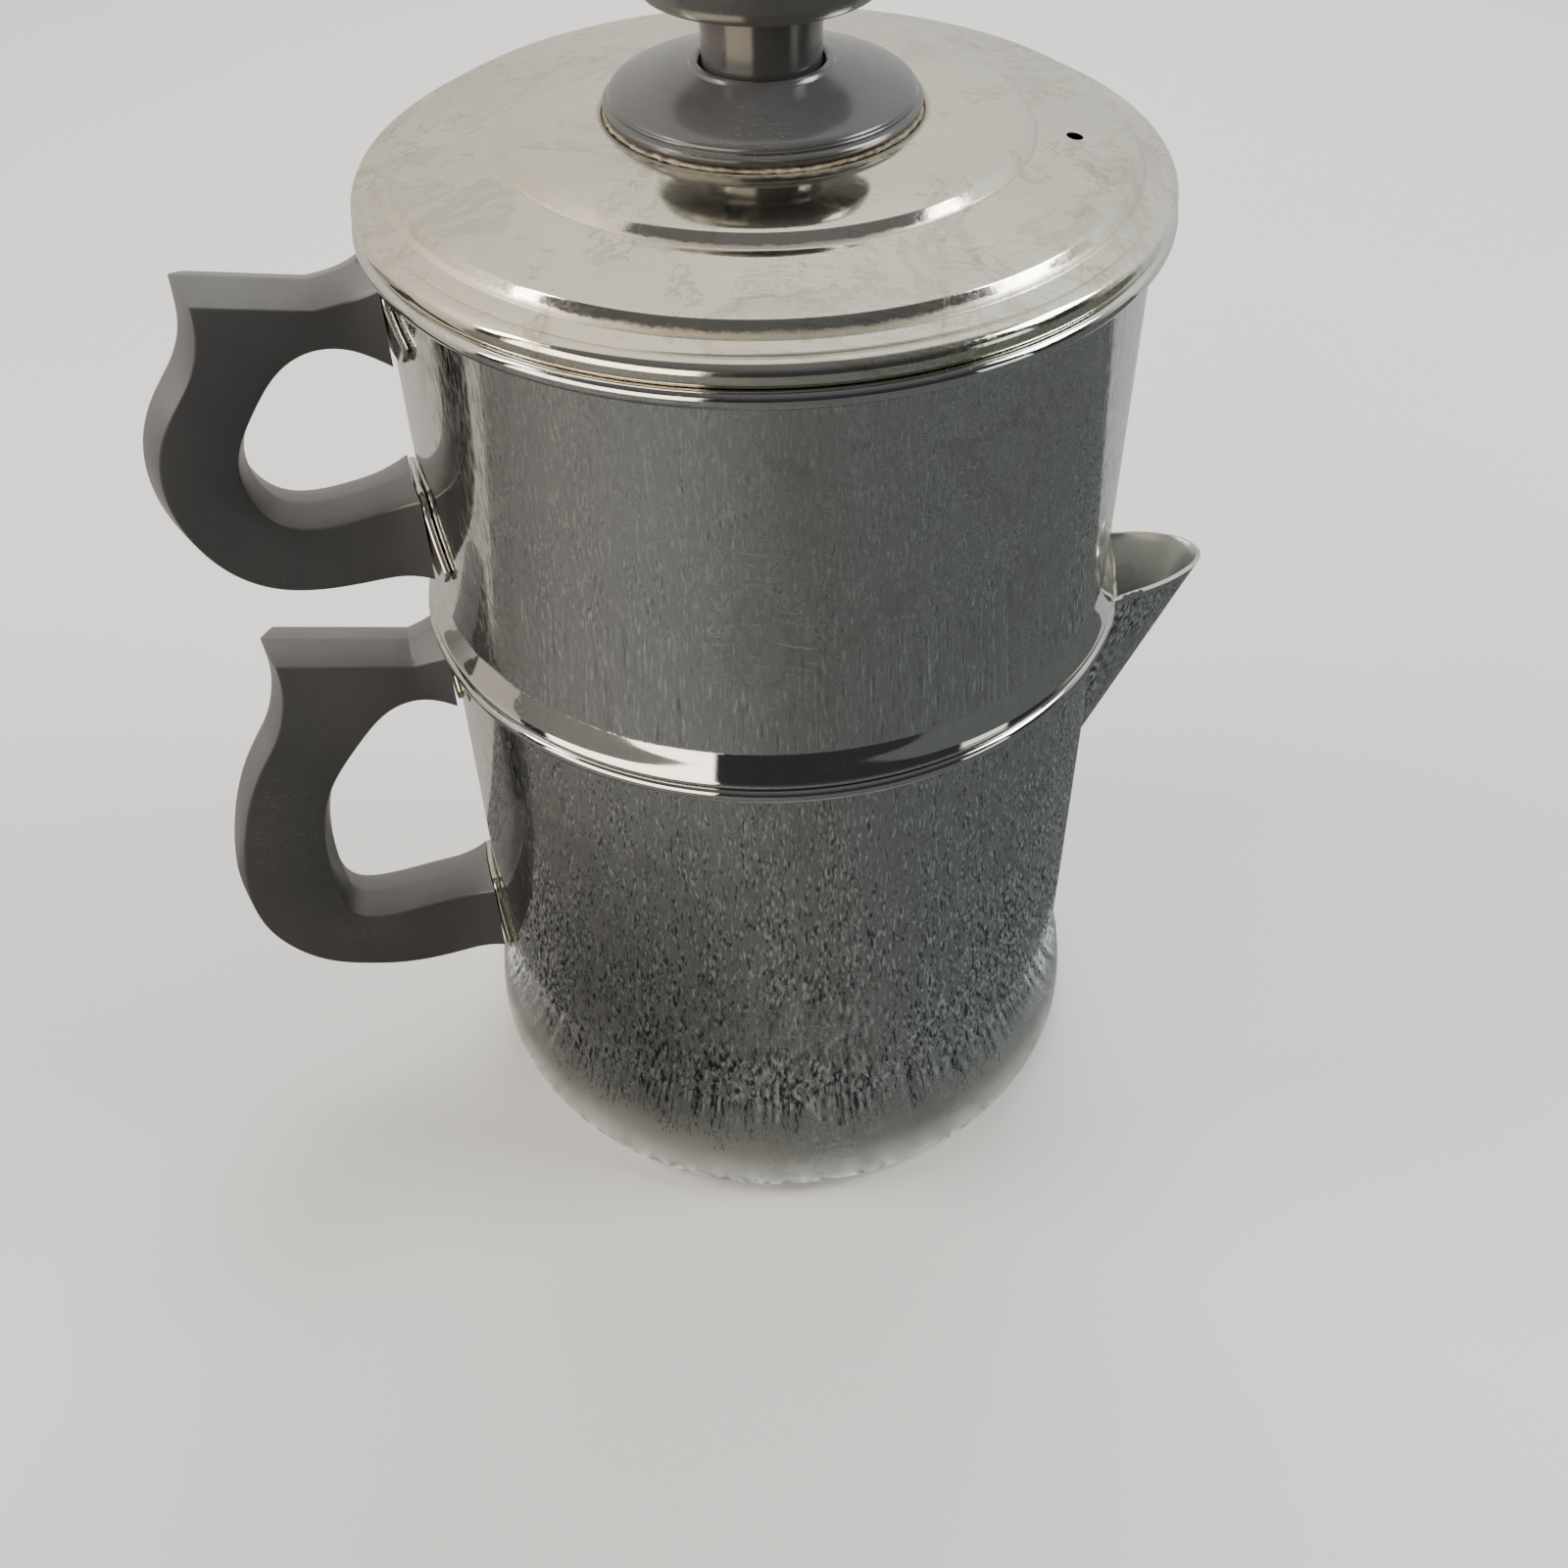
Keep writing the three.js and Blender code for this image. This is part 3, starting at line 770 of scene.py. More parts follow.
@dataclass(frozen=True)
class LidSteel(Finish):
    """Bright lid steel with water marks, brown deposits in its grooves and fine scratches.

    Attributes:
        tint: the clean steel.
        dull: the steel under old water marks.
        grooves: (radius, width) of each band of deposits, in millimetres.
    """

    tint: tuple = colour(0.86, 0.82, 0.70)
    dull: tuple = colour(0.60, 0.56, 0.46)
    grooves: tuple = ((28.4, 1.7), (47.6, 0.5), (66.6, 0.6))

    def material(self) -> bpy.types.Material:
        """Builds the material.

        Returns:
            The new material.
        """
        material, bench, place, shader = self.start()
        marks = bench.group("hairline_scratches", Vector=place, Density=2600.0, Cover=0.64)
        large = bench.group("water_marks", Vector=place, Size=30.0, Cover=0.53)
        small = bench.group("water_marks", Vector=place, Size=95.0, Cover=0.59)
        dust_and_sheen = bench.group("upfacing_dust_and_sheen", Vector=place, Amount=0.4)
        cloud = bench.noise(place, 26.0, 5.0, 0.65)
        veil = bench.sum("MULTIPLY_ADD", large.outputs["Stain"], 0.16,
                         bench.sum("MULTIPLY", bench.ramp(cloud, 0.35, 0.7), 0.38))
        base = bench.blend(veil, self.tint, self.dull)
        rims = bench.sum("MULTIPLY_ADD", large.outputs["Rim"], 0.22,
                         bench.sum("MULTIPLY", small.outputs["Rim"], 0.36), clamp=True)
        base = bench.blend(rims, base, colour(0.30, 0.24, 0.15))
        dirt = None
        for radius, width in self.grooves:
            band = bench.group("groove_band", Vector=place, Radius=radius * MM,
                               Width=width * MM, Raggedness=1.0).outputs["Band"]
            dirt = band if dirt is None else bench.sum("MAXIMUM", dirt, band)
        dirt = bench.sum("MULTIPLY", dirt, 0.7)
        base = bench.blend(dirt, base, colour(0.24, 0.19, 0.12))
        scratch = bench.sum("MULTIPLY", marks.outputs["Scratch"], 0.4)
        base = bench.blend(scratch, base, colour(0.42, 0.41, 0.39))
        base = bench.blend(bench.sum("MULTIPLY", dust_and_sheen.outputs["Specks"], 0.6), base,
                           colour(0.16, 0.13, 0.10))
        bench.tree.links.new(base, shader.inputs["Base Color"])
        metal = bench.sum("MULTIPLY_ADD", dirt, -0.7, 1.0, clamp=True)
        bench.tree.links.new(metal, shader.inputs["Metallic"])
        grain = bench.noise(place, 1500.0, 2.0)
        rough = bench.sum("MULTIPLY_ADD", veil, 0.13, bench.ramp(grain, 0.35, 0.65, 0.045, 0.085))
        rough = bench.sum("MULTIPLY_ADD", rims, 0.2, rough)
        rough = bench.sum("MULTIPLY_ADD", dirt, 0.5, rough, clamp=True)
        bench.tree.links.new(rough, shader.inputs["Roughness"])
        height = bench.sum("MULTIPLY_ADD", dirt, 2.0, bench.sum("MULTIPLY", grain, 0.15))
        height = bench.sum("MULTIPLY_ADD", scratch, -0.6, height)
        self.relief(bench, shader, height, 0.35, 0.00002)
        return material


@dataclass(frozen=True)
class TrimSteel(Finish):
    """Bright small steel parts with a light tarnish.

    Attributes:
        tint: the clean metal.
        tarnish: the colour where it has yellowed.
        yellowed: how much of it has yellowed, 0 to 1.
        roughness: how dull it is.
    """

    tint: tuple = colour(0.70, 0.69, 0.65)
    tarnish: tuple = colour(0.58, 0.45, 0.22)
    yellowed: float = 0.3
    roughness: float = 0.12

    def material(self) -> bpy.types.Material:
        """Builds the material.

        Returns:
            The new material.
        """
        material, bench, place, shader = self.start()
        blot = bench.noise(place, 130.0, 4.0, 0.65)
        marks = bench.group("hairline_scratches", Vector=place, Density=2600.0, Cover=0.6)
        scratch = bench.sum("MULTIPLY", marks.outputs["Scratch"], 0.4)
        old = bench.sum("MULTIPLY", bench.ramp(blot, 0.38, 0.66), self.yellowed)
        base = bench.blend(old, self.tint, self.tarnish)
        base = bench.blend(scratch, base, colour(0.8, 0.79, 0.76))
        bench.tree.links.new(base, shader.inputs["Base Color"])
        shader.inputs["Metallic"].default_value = 1.0
        rough = bench.ramp(blot, 0.3, 0.7, self.roughness, self.roughness + 0.16)
        bench.tree.links.new(rough, shader.inputs["Roughness"])
        self.relief(bench, shader, bench.sum("ADD", blot, scratch), 0.3, 0.00002)
        return material


@dataclass(frozen=True)
class Deposit(Finish):
    """The crusty old washer under the knob: brown scale over dull steel.

    Attributes:
        scale: the pale part of the crust.
        rust: its brown part.
    """

    scale: tuple = colour(0.52, 0.49, 0.40)
    rust: tuple = colour(0.16, 0.11, 0.06)

    def material(self) -> bpy.types.Material:
        """Builds the material.

        Returns:
            The new material.
        """
        material, bench, place, shader = self.start()
        lumps = bench.noise(place, 700.0, 5.0, 0.7)
        patches = bench.noise(place, 110.0, 3.0)
        share = bench.sum("MULTIPLY_ADD", bench.ramp(lumps, 0.35, 0.65), 0.6,
                          bench.sum("MULTIPLY", bench.ramp(patches, 0.4, 0.6), 0.4))
        base = bench.blend(share, self.rust, self.scale)
        bench.tree.links.new(base, shader.inputs["Base Color"])
        bench.tree.links.new(bench.ramp(lumps, 0.3, 0.7, 0.1, 0.5), shader.inputs["Metallic"])
        bench.tree.links.new(bench.ramp(lumps, 0.3, 0.7, 0.8, 0.45), shader.inputs["Roughness"])
        self.relief(bench, shader, lumps, 0.8, 0.0003)
        return material


@dataclass(frozen=True)
class Bakelite(Finish):
    """Aged black Bakelite with a greyed surface, a dusty film with painted sheen on what faces up,
    and faint rubbed scratches.

    Attributes:
        tint: the black.
        greyed: the colour where the surface has aged.
        roughness: roughness where it is still glossy.
        dust_and_sheen: how much of the dusty film and painted sheen lies on what faces up.
        veil: the colour of the dusty film and painted sheen.
    """

    tint: tuple = colour(0.034, 0.0335, 0.0355)
    greyed: tuple = colour(0.050, 0.049, 0.051)
    roughness: float = 0.27
    dust_and_sheen: float = 0.5
    veil: tuple = colour(0.19, 0.188, 0.186)

    def material(self) -> bpy.types.Material:
        """Builds the material.

        Returns:
            The new material.
        """
        material, bench, place, shader = self.start()
        marks = bench.group("hairline_scratches", Vector=place, Density=2600.0, Cover=0.7,
                            Patches=45.0)
        dust_and_sheen = bench.group("upfacing_dust_and_sheen", Vector=place, Amount=self.dust_and_sheen)
        age = bench.noise(place, 24.0, 4.0, 0.55)
        fine = bench.noise(place, 1900.0, 2.0, 0.6)
        base = bench.blend(bench.ramp(age, 0.3, 0.75), self.tint, self.greyed)
        # Painted sheen: what faces up is lightened towards the veil colour, together with a dusty
        # film there.
        base = bench.blend(dust_and_sheen.outputs["DustAndSheen"], base, self.veil)
        scratch = bench.sum("MULTIPLY", marks.outputs["Scratch"], 0.25)
        base = bench.blend(scratch, base, colour(0.16, 0.16, 0.16))
        base = bench.blend(bench.sum("MULTIPLY", dust_and_sheen.outputs["Specks"], 0.35), base,
                           colour(0.40, 0.38, 0.35))
        bench.tree.links.new(base, shader.inputs["Base Color"])
        rough = bench.ramp(age, 0.25, 0.8, self.roughness, self.roughness + 0.08)
        rough = bench.sum("MULTIPLY_ADD", dust_and_sheen.outputs["DustAndSheen"], 0.2, rough)
        rough = bench.sum("MULTIPLY_ADD", scratch, 0.3, rough, clamp=True)
        bench.tree.links.new(rough, shader.inputs["Roughness"])
        shader.inputs["IOR"].default_value = 1.62
        height = bench.sum("MULTIPLY_ADD", scratch, -1.0, bench.sum("MULTIPLY", fine, 0.25))
        self.relief(bench, shader, height, 0.3, 0.00002)
        return material


@dataclass
class Paints:
    """Every finish of the pot, made once."""

    wall: bpy.types.Material = field(init=False)
    lid: bpy.types.Material = field(init=False)
    inner: bpy.types.Material = field(init=False)
    trim: bpy.types.Material = field(init=False)
    golden: bpy.types.Material = field(init=False)
    deposit: bpy.types.Material = field(init=False)
    handle: bpy.types.Material = field(init=False)
    knob: bpy.types.Material = field(init=False)

    def __post_init__(self) -> None:
        """Builds the shared effects, then the materials."""
        for make in (make_streaks, make_scratches, make_stains, make_band, make_dust_and_sheen):
            make()
        self.wall = WallSteel("polished_wall").material()
        self.lid = LidSteel("marked_lid").material()
        self.inner = WallSteel("satin_inside", smooth=0.36, hazy=0.5, scratches=0.3,
                               tint=colour(0.78, 0.79, 0.76),
                               shade=colour(0.66, 0.67, 0.64)).material()
        self.trim = TrimSteel("bright_trim").material()
        self.golden = TrimSteel("yellowed_trim", yellowed=0.85).material()
        self.deposit = Deposit("washer_scale").material()
        self.handle = Bakelite("handle_bakelite").material()
        # The knob's tops take a thinner dusty film and painted sheen than the handles.
        self.knob = Bakelite("knob_bakelite", roughness=0.13, dust_and_sheen=0.22,
                             tint=colour(0.038, 0.039, 0.040)).material()


def dress(piece: Piece, paint: bpy.types.Material, body: Body, slot: Slot, *nodes: str) -> None:
    """Gives a finished piece its finish and its body, and hides the CAD nodes it stands for.

    Args:
        piece: the finished piece.
        paint: its material.
        body: the body it moves with.
        slot: the record's material slot; not used.
        *nodes: the nodes it replaces.
    """
    piece.data.materials.clear()
    piece.data.materials.append(paint)
    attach(piece, body.value)
    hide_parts(*nodes)
    log.info("%s on %s: %d faces", piece.name, body.value, len(piece.data.polygons))


def line(piece: Piece, paint: bpy.types.Material,
         wanted: Callable[[Vector, Vector], bool]) -> None:
    """Gives some faces of a dressed piece a second finish.

    Args:
        piece: the dressed piece.
        paint: the second material.
        wanted: tells from a face's middle and its normal whether it takes the second finish.
    """
    piece.data.materials.append(paint)
    for face in piece.data.polygons:
        if wanted(face.center / MM, face.normal):
            face.material_index = 1


def repaint(node: str, paint: bpy.types.Material) -> None:
    """Gives a CAD node that stays a better material.

    Args:
        node: the node's name.
        paint: the new material.
    """
    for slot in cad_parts[node].material_slots:
        slot.material = paint
    log.info("%s keeps its solid, in %s", node, paint.name)


# ------------------------------------------------------------------ handles


@dataclass
class Handle:
    """A C-shaped Bakelite handle with flat sides, a ridged edge and a thumb rest.

    Attributes:
        name: the piece's name, which is also the node it replaces.
        body: the body it moves with; not used.
        azimuth: where it stands round the pot, in degrees from the spout.
        ridge: how far the outer edge stands proud of the side faces.
        thumb_rest: the straight top of a side face, as [reach, height].
        back: the outer curve of a side face.
        finger_gap: the inner curve of a side face.
        rim: (radius, height, tube radius) of the rolled rim above it.
    """

    name: str
    body: Body
    azimuth: float
    ridge: float
    thumb_rest: Outline
    back: Outline
    finger_gap: Outline
    rim: tuple[float, float, float]
    half_thickness: float = 7.0
    inner_ridge: float = 1.4
    flare_half: float = 8.5
    flare_reach: float = 79.5
    end_reach: float = 71.7
    gap: float = 0.3

    def outline(self) -> tuple[Outline, list[float]]:
        """The side face's outline and the ridge height at each of its points.

        Returns:
            The closed outline's points and their ridge heights.
        """
        top = faired(self.thumb_rest[:-1], 1.5, 6) + [self.thumb_rest[-1]]
        back = faired([self.thumb_rest[-1], *self.back], 1.5, 10)[1:]
        gap = faired(self.finger_gap, 1.3, 14)
        points = top + back + gap
        ridges = [self.ridge] * (len(top) + len(back)) + [self.inner_ridge] * len(gap)
        return points, ridges

    def offset(self, points: Outline, amounts: Sequence[float]) -> Outline:
        """Moves each point of a closed outline outwards.

        Args:
            points: the outline, clockwise or anticlockwise.
            amounts: how far each point moves.

        Returns:
            The moved outline.
        """
        area = sum(a[0] * b[1] - b[0] * a[1] for a, b in zip(points, points[1:] + points[:1]))
        side = 1.0 if area > 0 else -1.0
        moved = []
        for index, (x, y) in enumerate(points):
            before, after = points[index - 1], points[(index + 1) % len(points)]
            normals = []
            for start, end in ((before, (x, y)), ((x, y), after)):
                along = Vector((end[0] - start[0], end[1] - start[1])).normalized()
                normals.append(Vector((along.y, -along.x)) * side)
            both = normals[0] + normals[1]
            step = both / max(1.0 + normals[0].dot(normals[1]), 0.5)
            moved.append((x + step.x * amounts[index], y + step.y * amounts[index]))
        return moved

    def section(self) -> list[tuple[float, float, float]]:
        """The handle's cross section, from side to side.

        Returns:
            (place across the thickness, share of the ridge, rounding) of each point.
        """
        half = self.half_thickness
        near = [
            (half, 0.0, -0.62),
            (half - 0.05, 0.0, -0.38),
            (half - 0.2, 0.0, -0.14),
            (half - 0.55, 0.03, 0.0),
            (half * 0.5, 0.5, 0.0),
            (0.55, 0.93, 0.0),
            (0.25, 0.97, -0.03),
        ]
        far = [(-across, share, rounding) for across, share, rounding in reversed(near)]
        return [*near, (0.0, 1.0, -0.08), *far]

    def build(self) -> Piece:
        """Models the handle in place.

        Returns:
            The finished piece.
        """
        points, ridges = self.outline()
        rings = []
        for across, share, rounding in self.section():
            moved = self.offset(points, [ridge * share + rounding for ridge in ridges])
            rings.append([Vector((x, across, z)) for x, z in moved])
        piece = stacked(self.name + "_grip", rings)
        edit(piece)
        step = 1.0
        reach = self.end_reach - 1.0
        while reach < self.flare_reach + 1.0:
            bpy.ops.mesh.select_all(action="SELECT")
            bpy.ops.mesh.bisect(plane_co=(reach * MM, 0, 0), plane_no=(1, 0, 0))
            reach += step
        self.flare(piece)
        deselect()
        piece = finish_shell(piece, 24)
        take(piece)
        piece.rotation_euler = (0, 0, math.radians(self.azimuth))
        bpy.ops.object.transform_apply(location=True, rotation=True, scale=True)
        self.trim(piece)
        return finish_shell(piece, 24)

    def flare(self, piece: Piece) -> None:
        """Widens the ends towards the pot's wall.

        Args:
            piece: the handle in edit mode, lying along +X.
        """
        mesh = bmesh.from_edit_mesh(piece.data)
        length = self.flare_reach - self.end_reach
        for point in mesh.verts:
            share = (self.flare_reach - point.co.x / MM) / length
            share = min(max(share, 0.0), 1.2)
            point.co.y *= 1 + (self.flare_half / self.half_thickness - 1) * share * share
        bmesh.update_edit_mesh(piece.data)

    def trim(self, piece: Piece) -> None:
        """Cuts the ends to the bracket plates and clears the rolled rim above.

        Args:
            piece: the handle in place.
        """
        radius, height, tube = self.rim
        for name, reach, low, high in (
            ("wall_cutter", self.end_reach, -5.0, 260.0),
            ("rim_cutter", radius + tube + self.gap, height - tube - self.gap, 262.0),
        ):
            deselect()
            bpy.ops.mesh.primitive_cylinder_add(
                vertices=SHELL_SIDES, radius=reach * MM, depth=(high - low) * MM,
                location=(0, 0, (low + high) / 2 * MM),
            )
            carve(piece, named(name))


@dataclass
class Bracket:
    """A thin steel plate behind one end of a handle, bent to the wall.

    Attributes:
        name: the node it replaces.
        body: the body it moves with; not used.
        azimuth: where it stands round the pot, in degrees.
        bottom: its lowest height.
        top: its highest height.
        foot_half: half its width at the foot.
    """

    name: str
    body: Body
    azimuth: float
    bottom: float
    top: float
    foot_half: float
    top_half: float = 9.0
    corner: float = 4.0
    inner: float = 70.3
    thickness: float = 1.1

    def build(self) -> Piece:
        """Models the plate flat, cuts it into strips and bends it round the wall.

        Returns:
            The finished piece.
        """
        high, low = self.top - self.corner, self.bottom + self.corner
        across, foot = self.top_half - self.corner, self.foot_half - self.corner
        face = [
            *arc((across, high), self.corner, 0, 90, 6),
            *arc((-across, high), self.corner, 90, 180, 6),
            *arc((-foot, low), self.corner, 180, 270, 6),
            *arc((foot, low), self.corner, 270, 360, 6),
        ]
        rounding = 0.22
        rings = []
        for level, inset in ((0.0, rounding), (rounding, 0.0), (self.thickness - rounding, 0.0),
                             (self.thickness, rounding)):
            middle = (self.top + self.bottom) / 2
            rings.append([
                Vector((self.inner + level, y * (1 - inset / 12),
                        middle + (z - middle) * (1 - inset / 12)))
                for y, z in face
            ])
        piece = stacked(self.name + "_plate", rings)
        edit(piece)
        strip = 1.2
        count = int(self.foot_half / strip)
        for index in range(-count, count + 1):
            bpy.ops.mesh.select_all(action="SELECT")
            bpy.ops.mesh.bisect(plane_co=(0, index * strip * MM, 0), plane_no=(0, 1, 0))
        mesh = bmesh.from_edit_mesh(piece.data)
        for point in mesh.verts:
            reach = point.co.x
            angle = point.co.y / (self.inner * MM) + math.radians(self.azimuth)
            point.co.x, point.co.y = reach * math.cos(angle), reach * math.sin(angle)
        bmesh.update_edit_mesh(piece.data)
        return finish_shell(piece, 30)


# ------------------------------------------------------------------ lower pot


@dataclass
class Server:
    """The lower pot: a seamless wall on a rounded foot, a rolled rim, a spout and a handle."""

    bead: tuple[float, float, float] = (71.7, 132.0, 1.6)
    azimuth: float = 193.0
    notch_half: float = 11.0
    notch_shoulder: float = 126.5
    notch_tip: float = 86.0
    spout_bottom: float = 77.0
    spout_top: float = 132.4
    hinge: float = 69.0
    plan: Outline = field(default_factory=lambda: [
        (69.0, 14.6), (72.2, 13.3), (76.2, 11.9), (80.7, 10.6), (85.5, 8.4), (89.2, 5.7),
        (91.3, 3.0), (92.25, 0.0)])
    edge: Outline = field(default_factory=lambda: [
        (60.0, 127.0), (72.2, 128.9), (80.7, 130.5), (89.2, 132.0), (95.0, 132.4)])
    brackets: tuple = (("upper", 117.0, 129.4, 12.6), ("lower", 39.5, 57.5, 15.0))

    def shell(self) -> Piece:
        """Models the wall with its foot and rim, then cuts the pouring notch.

        Returns:
            The finished piece.
        """
        inner = WALL_RADIUS - SHEET
        radius, height, tube = self.bead
        foot = flowing([
            (66.0, 0.0), (67.5, 0.12), (70.0, 0.9), (72.2, 2.6), (73.25, 5.8), (73.2, 9.5),
            (72.6, 14.5), (71.5, 19.5), (70.6, 26.0), (70.05, 33.0), (WALL_RADIUS, 38.0)], 4)
        hollow = flowing([
            (inner, 38.0), (inner + 0.6, 26.0), (inner + 1.8, 17.0), (inner + 2.9, 9.0),
            (inner + 2.5, 4.2), (inner - 0.4, 1.9), (inner - 6.0, 1.3)], 4)
        profile = [
            (0.0, 0.55), (50.0, 0.55), (53.0, 0.3), (55.0, 0.0), (64.0, 0.0),
            *foot,
            (WALL_RADIUS, 60.0), (WALL_RADIUS, 90.0), (WALL_RADIUS, 118.0),
            (WALL_RADIUS, height - tube - 0.5),
            *arc((radius, height), tube, -118, 150, 18),
            (inner + 0.25, height + 0.6), (inner, height - 0.6),
            (inner, 100.0), (inner, 70.0),
            *hollow,
            (52.0, 1.2), (0.0, 1.2),
        ]
        piece = raised("server_body", profile, SHELL_SIDES)
        above = height + 5
        notch = [
            (self.notch_half, above), (-self.notch_half, above),
            (-self.notch_half, self.notch_shoulder), (0.0, self.notch_tip),
            (self.notch_half, self.notch_shoulder),
        ]
        carve(piece, bar("notch_cutter", notch, 62.0, 80.0, "X"))
        return finish_shell(piece)

    def spout(self) -> Piece:
        """Models the spout as a bent sheet that narrows to the foot of its keel.

        Returns:
            The finished piece.
        """
        side = flowing(self.plan, 5)
        across = side + [(x, -y) for x, y in reversed(side[:-1])]
        rows = 28
        deselect()
        bpy.ops.mesh.primitive_grid_add(x_subdivisions=len(across) - 1, y_subdivisions=rows)
        piece = named("server_pouring_spout")
        span = self.spout_top - self.spout_bottom
        root = WALL_RADIUS - 0.4
        columns = len(across)
        for index, point in enumerate(piece.data.vertices):
            x, y = across[index % columns]
            rise = (index // columns) / rows
            height = self.spout_bottom + rise * (between(self.edge, x) - self.spout_bottom)
            scale = 0.05 + 0.95 * (height - self.spout_bottom) / span
            reach = self.hinge + (x - self.hinge) * scale
            width = y * scale
            if index % columns in (0, columns - 1):
                reach = math.sqrt(root * root - width * width)
            point.co = Vector((reach, width, height)) * MM
        modify(piece, "SOLIDIFY", thickness=0.9 * MM, offset=1.0, use_even_offset=True)
        modify(piece, "BEVEL", width=0.28 * MM, segments=3, limit_method="ANGLE",
               angle_limit=math.radians(60))
        return finish_shell(piece, 40)

    def handle(self) -> Handle:
        """The sizes of the lower handle."""
        return Handle(
            name="server_handle", body=Body.SERVER, azimuth=self.azimuth, ridge=2.0,
            thumb_rest=[(68, 128.6), (74.1, 126.2), (78.6, 125), (105.5, 130.6)],
            back=[(105.3, 124.3), (108.7, 112.6), (116.2, 100.7), (121.9, 86), (125.2, 68.3),
                  (123.1, 53.1), (114.5, 41.6), (104.2, 36.8), (93.2, 34.3), (81.6, 34.7),
                  (71.4, 36.1), (68, 36)],
            finger_gap=[(68, 57), (74.5, 54.5), (81.5, 54), (97.9, 52.5), (104.6, 55.6),
                        (106, 72.5), (104.2, 86.7), (100.7, 96), (93.2, 106.1), (85.9, 114),
                        (79.5, 116.1), (73.8, 114.6), (71, 113.6), (68, 112)],
            rim=self.bead,
        )

    def build(self, paints: Paints) -> None:
        """Models and dresses the whole lower pot.

        Args:
            paints: the finishes.
        """
        body = Body.SERVER
        dress(self.shell(), paints.wall, body, Slot.BODY_STEEL, "server_shell")
        spout = self.spout()
        dress(spout, paints.wall, body, Slot.BODY_STEEL, "server_spout")
        line(spout, paints.inner, lambda middle, facing: (
            facing.x * (middle.x - self.hinge) + facing.y * middle.y < -0.5 and facing.z < 0.9))
        dress(self.handle().build(), paints.handle, body, Slot.BAKELITE, "server_handle")
        for end, bottom, top, foot in self.brackets:
            node = f"server_{end}_bracket"
            plate = Bracket(node, body, self.azimuth, bottom, top, foot).build()
            dress(plate, paints.golden, body, Slot.TRIM_STEEL, node)
            repaint(f"server_{end}_stud", paints.trim)


# ------------------------------------------------------------------ upper chamber


@dataclass
class Dripper:
    """The upper chamber: a neck that enters the pot, a lip that rests on it, and a handle."""

    bead: tuple[float, float, float] = (71.8, 214.6, 1.6)
    azimuth: float = 196.5
    neck: float = 68.3
    neck_bottom: float = 117.6
    neck_opening: float = 56.0
    lip: float = 72.6
    lip_height: float = 133.9
    filter_radius: float = 62.0
    brackets: tuple = (("upper", 199.5, 211.5, 16.2), ("lower", 152.7, 169.0, 16.2))

    def shell(self) -> Piece:
        """Models the chamber's wall with its neck, lip, hollow shoulder and rim.

        Returns:
            The finished piece.
        """
        inner = WALL_RADIUS - SHEET
        neck_inner = self.neck - SHEET
        radius, height, tube = self.bead
        shoulder = flowing([
            (self.lip - 0.08, self.lip_height + 0.95), (72.3, 135.15), (71.95, 135.85),
            (71.4, 137.2), (70.85, 138.6), (70.3, 139.95), (70.08, 140.5),
            (WALL_RADIUS, 140.85)], 3)
        profile = [
            (self.neck_opening, self.neck_bottom),
            *arc((self.neck - 1.2, self.neck_bottom + 1.2), 1.2, -90, 0, 4),
            (self.neck, 126.0), (self.neck, self.lip_height),
            (self.lip - 0.2, self.lip_height), (self.lip, self.lip_height + 0.25),
            (self.lip, self.lip_height + 0.7),
            *shoulder,
            (WALL_RADIUS, 165.0), (WALL_RADIUS, 190.0), (WALL_RADIUS, height - tube - 0.5),
            *arc((radius, height), tube, -118, 150, 18),
            (inner + 0.25, height + 0.6), (inner, height - 0.6),
            (inner, 180.0), (inner, 139.0),
            (inner - 0.5, 137.0), (neck_inner, 135.4),
            (neck_inner, self.neck_bottom + SHEET + 0.6),
            (neck_inner - 0.6, self.neck_bottom + SHEET),
            (self.neck_opening, self.neck_bottom + SHEET),
            (self.neck_opening, self.neck_bottom),
        ]
        return raised("dripper_chamber", profile, SHELL_SIDES)

    def handle(self) -> Handle:
        """The sizes of the upper handle."""
        return Handle(
            name="dripper_handle", body=Body.DRIPPER, azimuth=self.azimuth, ridge=2.4,
            thumb_rest=[(68, 213), (72.7, 210.6), (76.5, 209.2), (82.5, 208.5), (102.1, 212.5)],
            back=[(102.4, 206), (105.8, 198.7), (111.3, 191.9), (114.9, 183), (114.6, 171.8),
                  (109.6, 160.7), (102.3, 154.1), (93.5, 151.5), (84, 151.1), (76, 151.3),
                  (72.2, 150.5), (68, 149)],
            finger_gap=[(68, 169.5), (72.9, 167.9), (79.3, 166.2), (91.6, 165.2), (97.9, 168.1),
                        (101.4, 175.8), (101.1, 183.2), (96.5, 190.9), (91.3, 197.8),
                        (85.8, 201), (80.2, 201.1), (75.5, 199.1), (72.2, 196.8), (68, 194.5)],
            rim=self.bead,
        )

    def build(self, paints: Paints) -> None:
        """Models and dresses the whole upper chamber.

        Args:
            paints: the finishes.
        """
        body = Body.DRIPPER
        dress(self.shell(), paints.wall, body, Slot.BODY_STEEL, "dripper_shell")
        plate = FilterPlate("dripper_filter", self.filter_radius, 118.7, 2.0, 2, 18.0, 1.8)
        dress(plate.build(), paints.inner, body, Slot.INNER_STEEL, "dripper_filter_plate")
        dress(self.handle().build(), paints.handle, body, Slot.BAKELITE, "dripper_handle")
        for end, bottom, top, foot in self.brackets:
            node = f"dripper_{end}_bracket"
            piece = Bracket(node, body, self.azimuth, bottom, top, foot).build()
            dress(piece, paints.trim, body, Slot.TRIM_STEEL, node)
            repaint(f"dripper_{end}_stud", paints.trim)


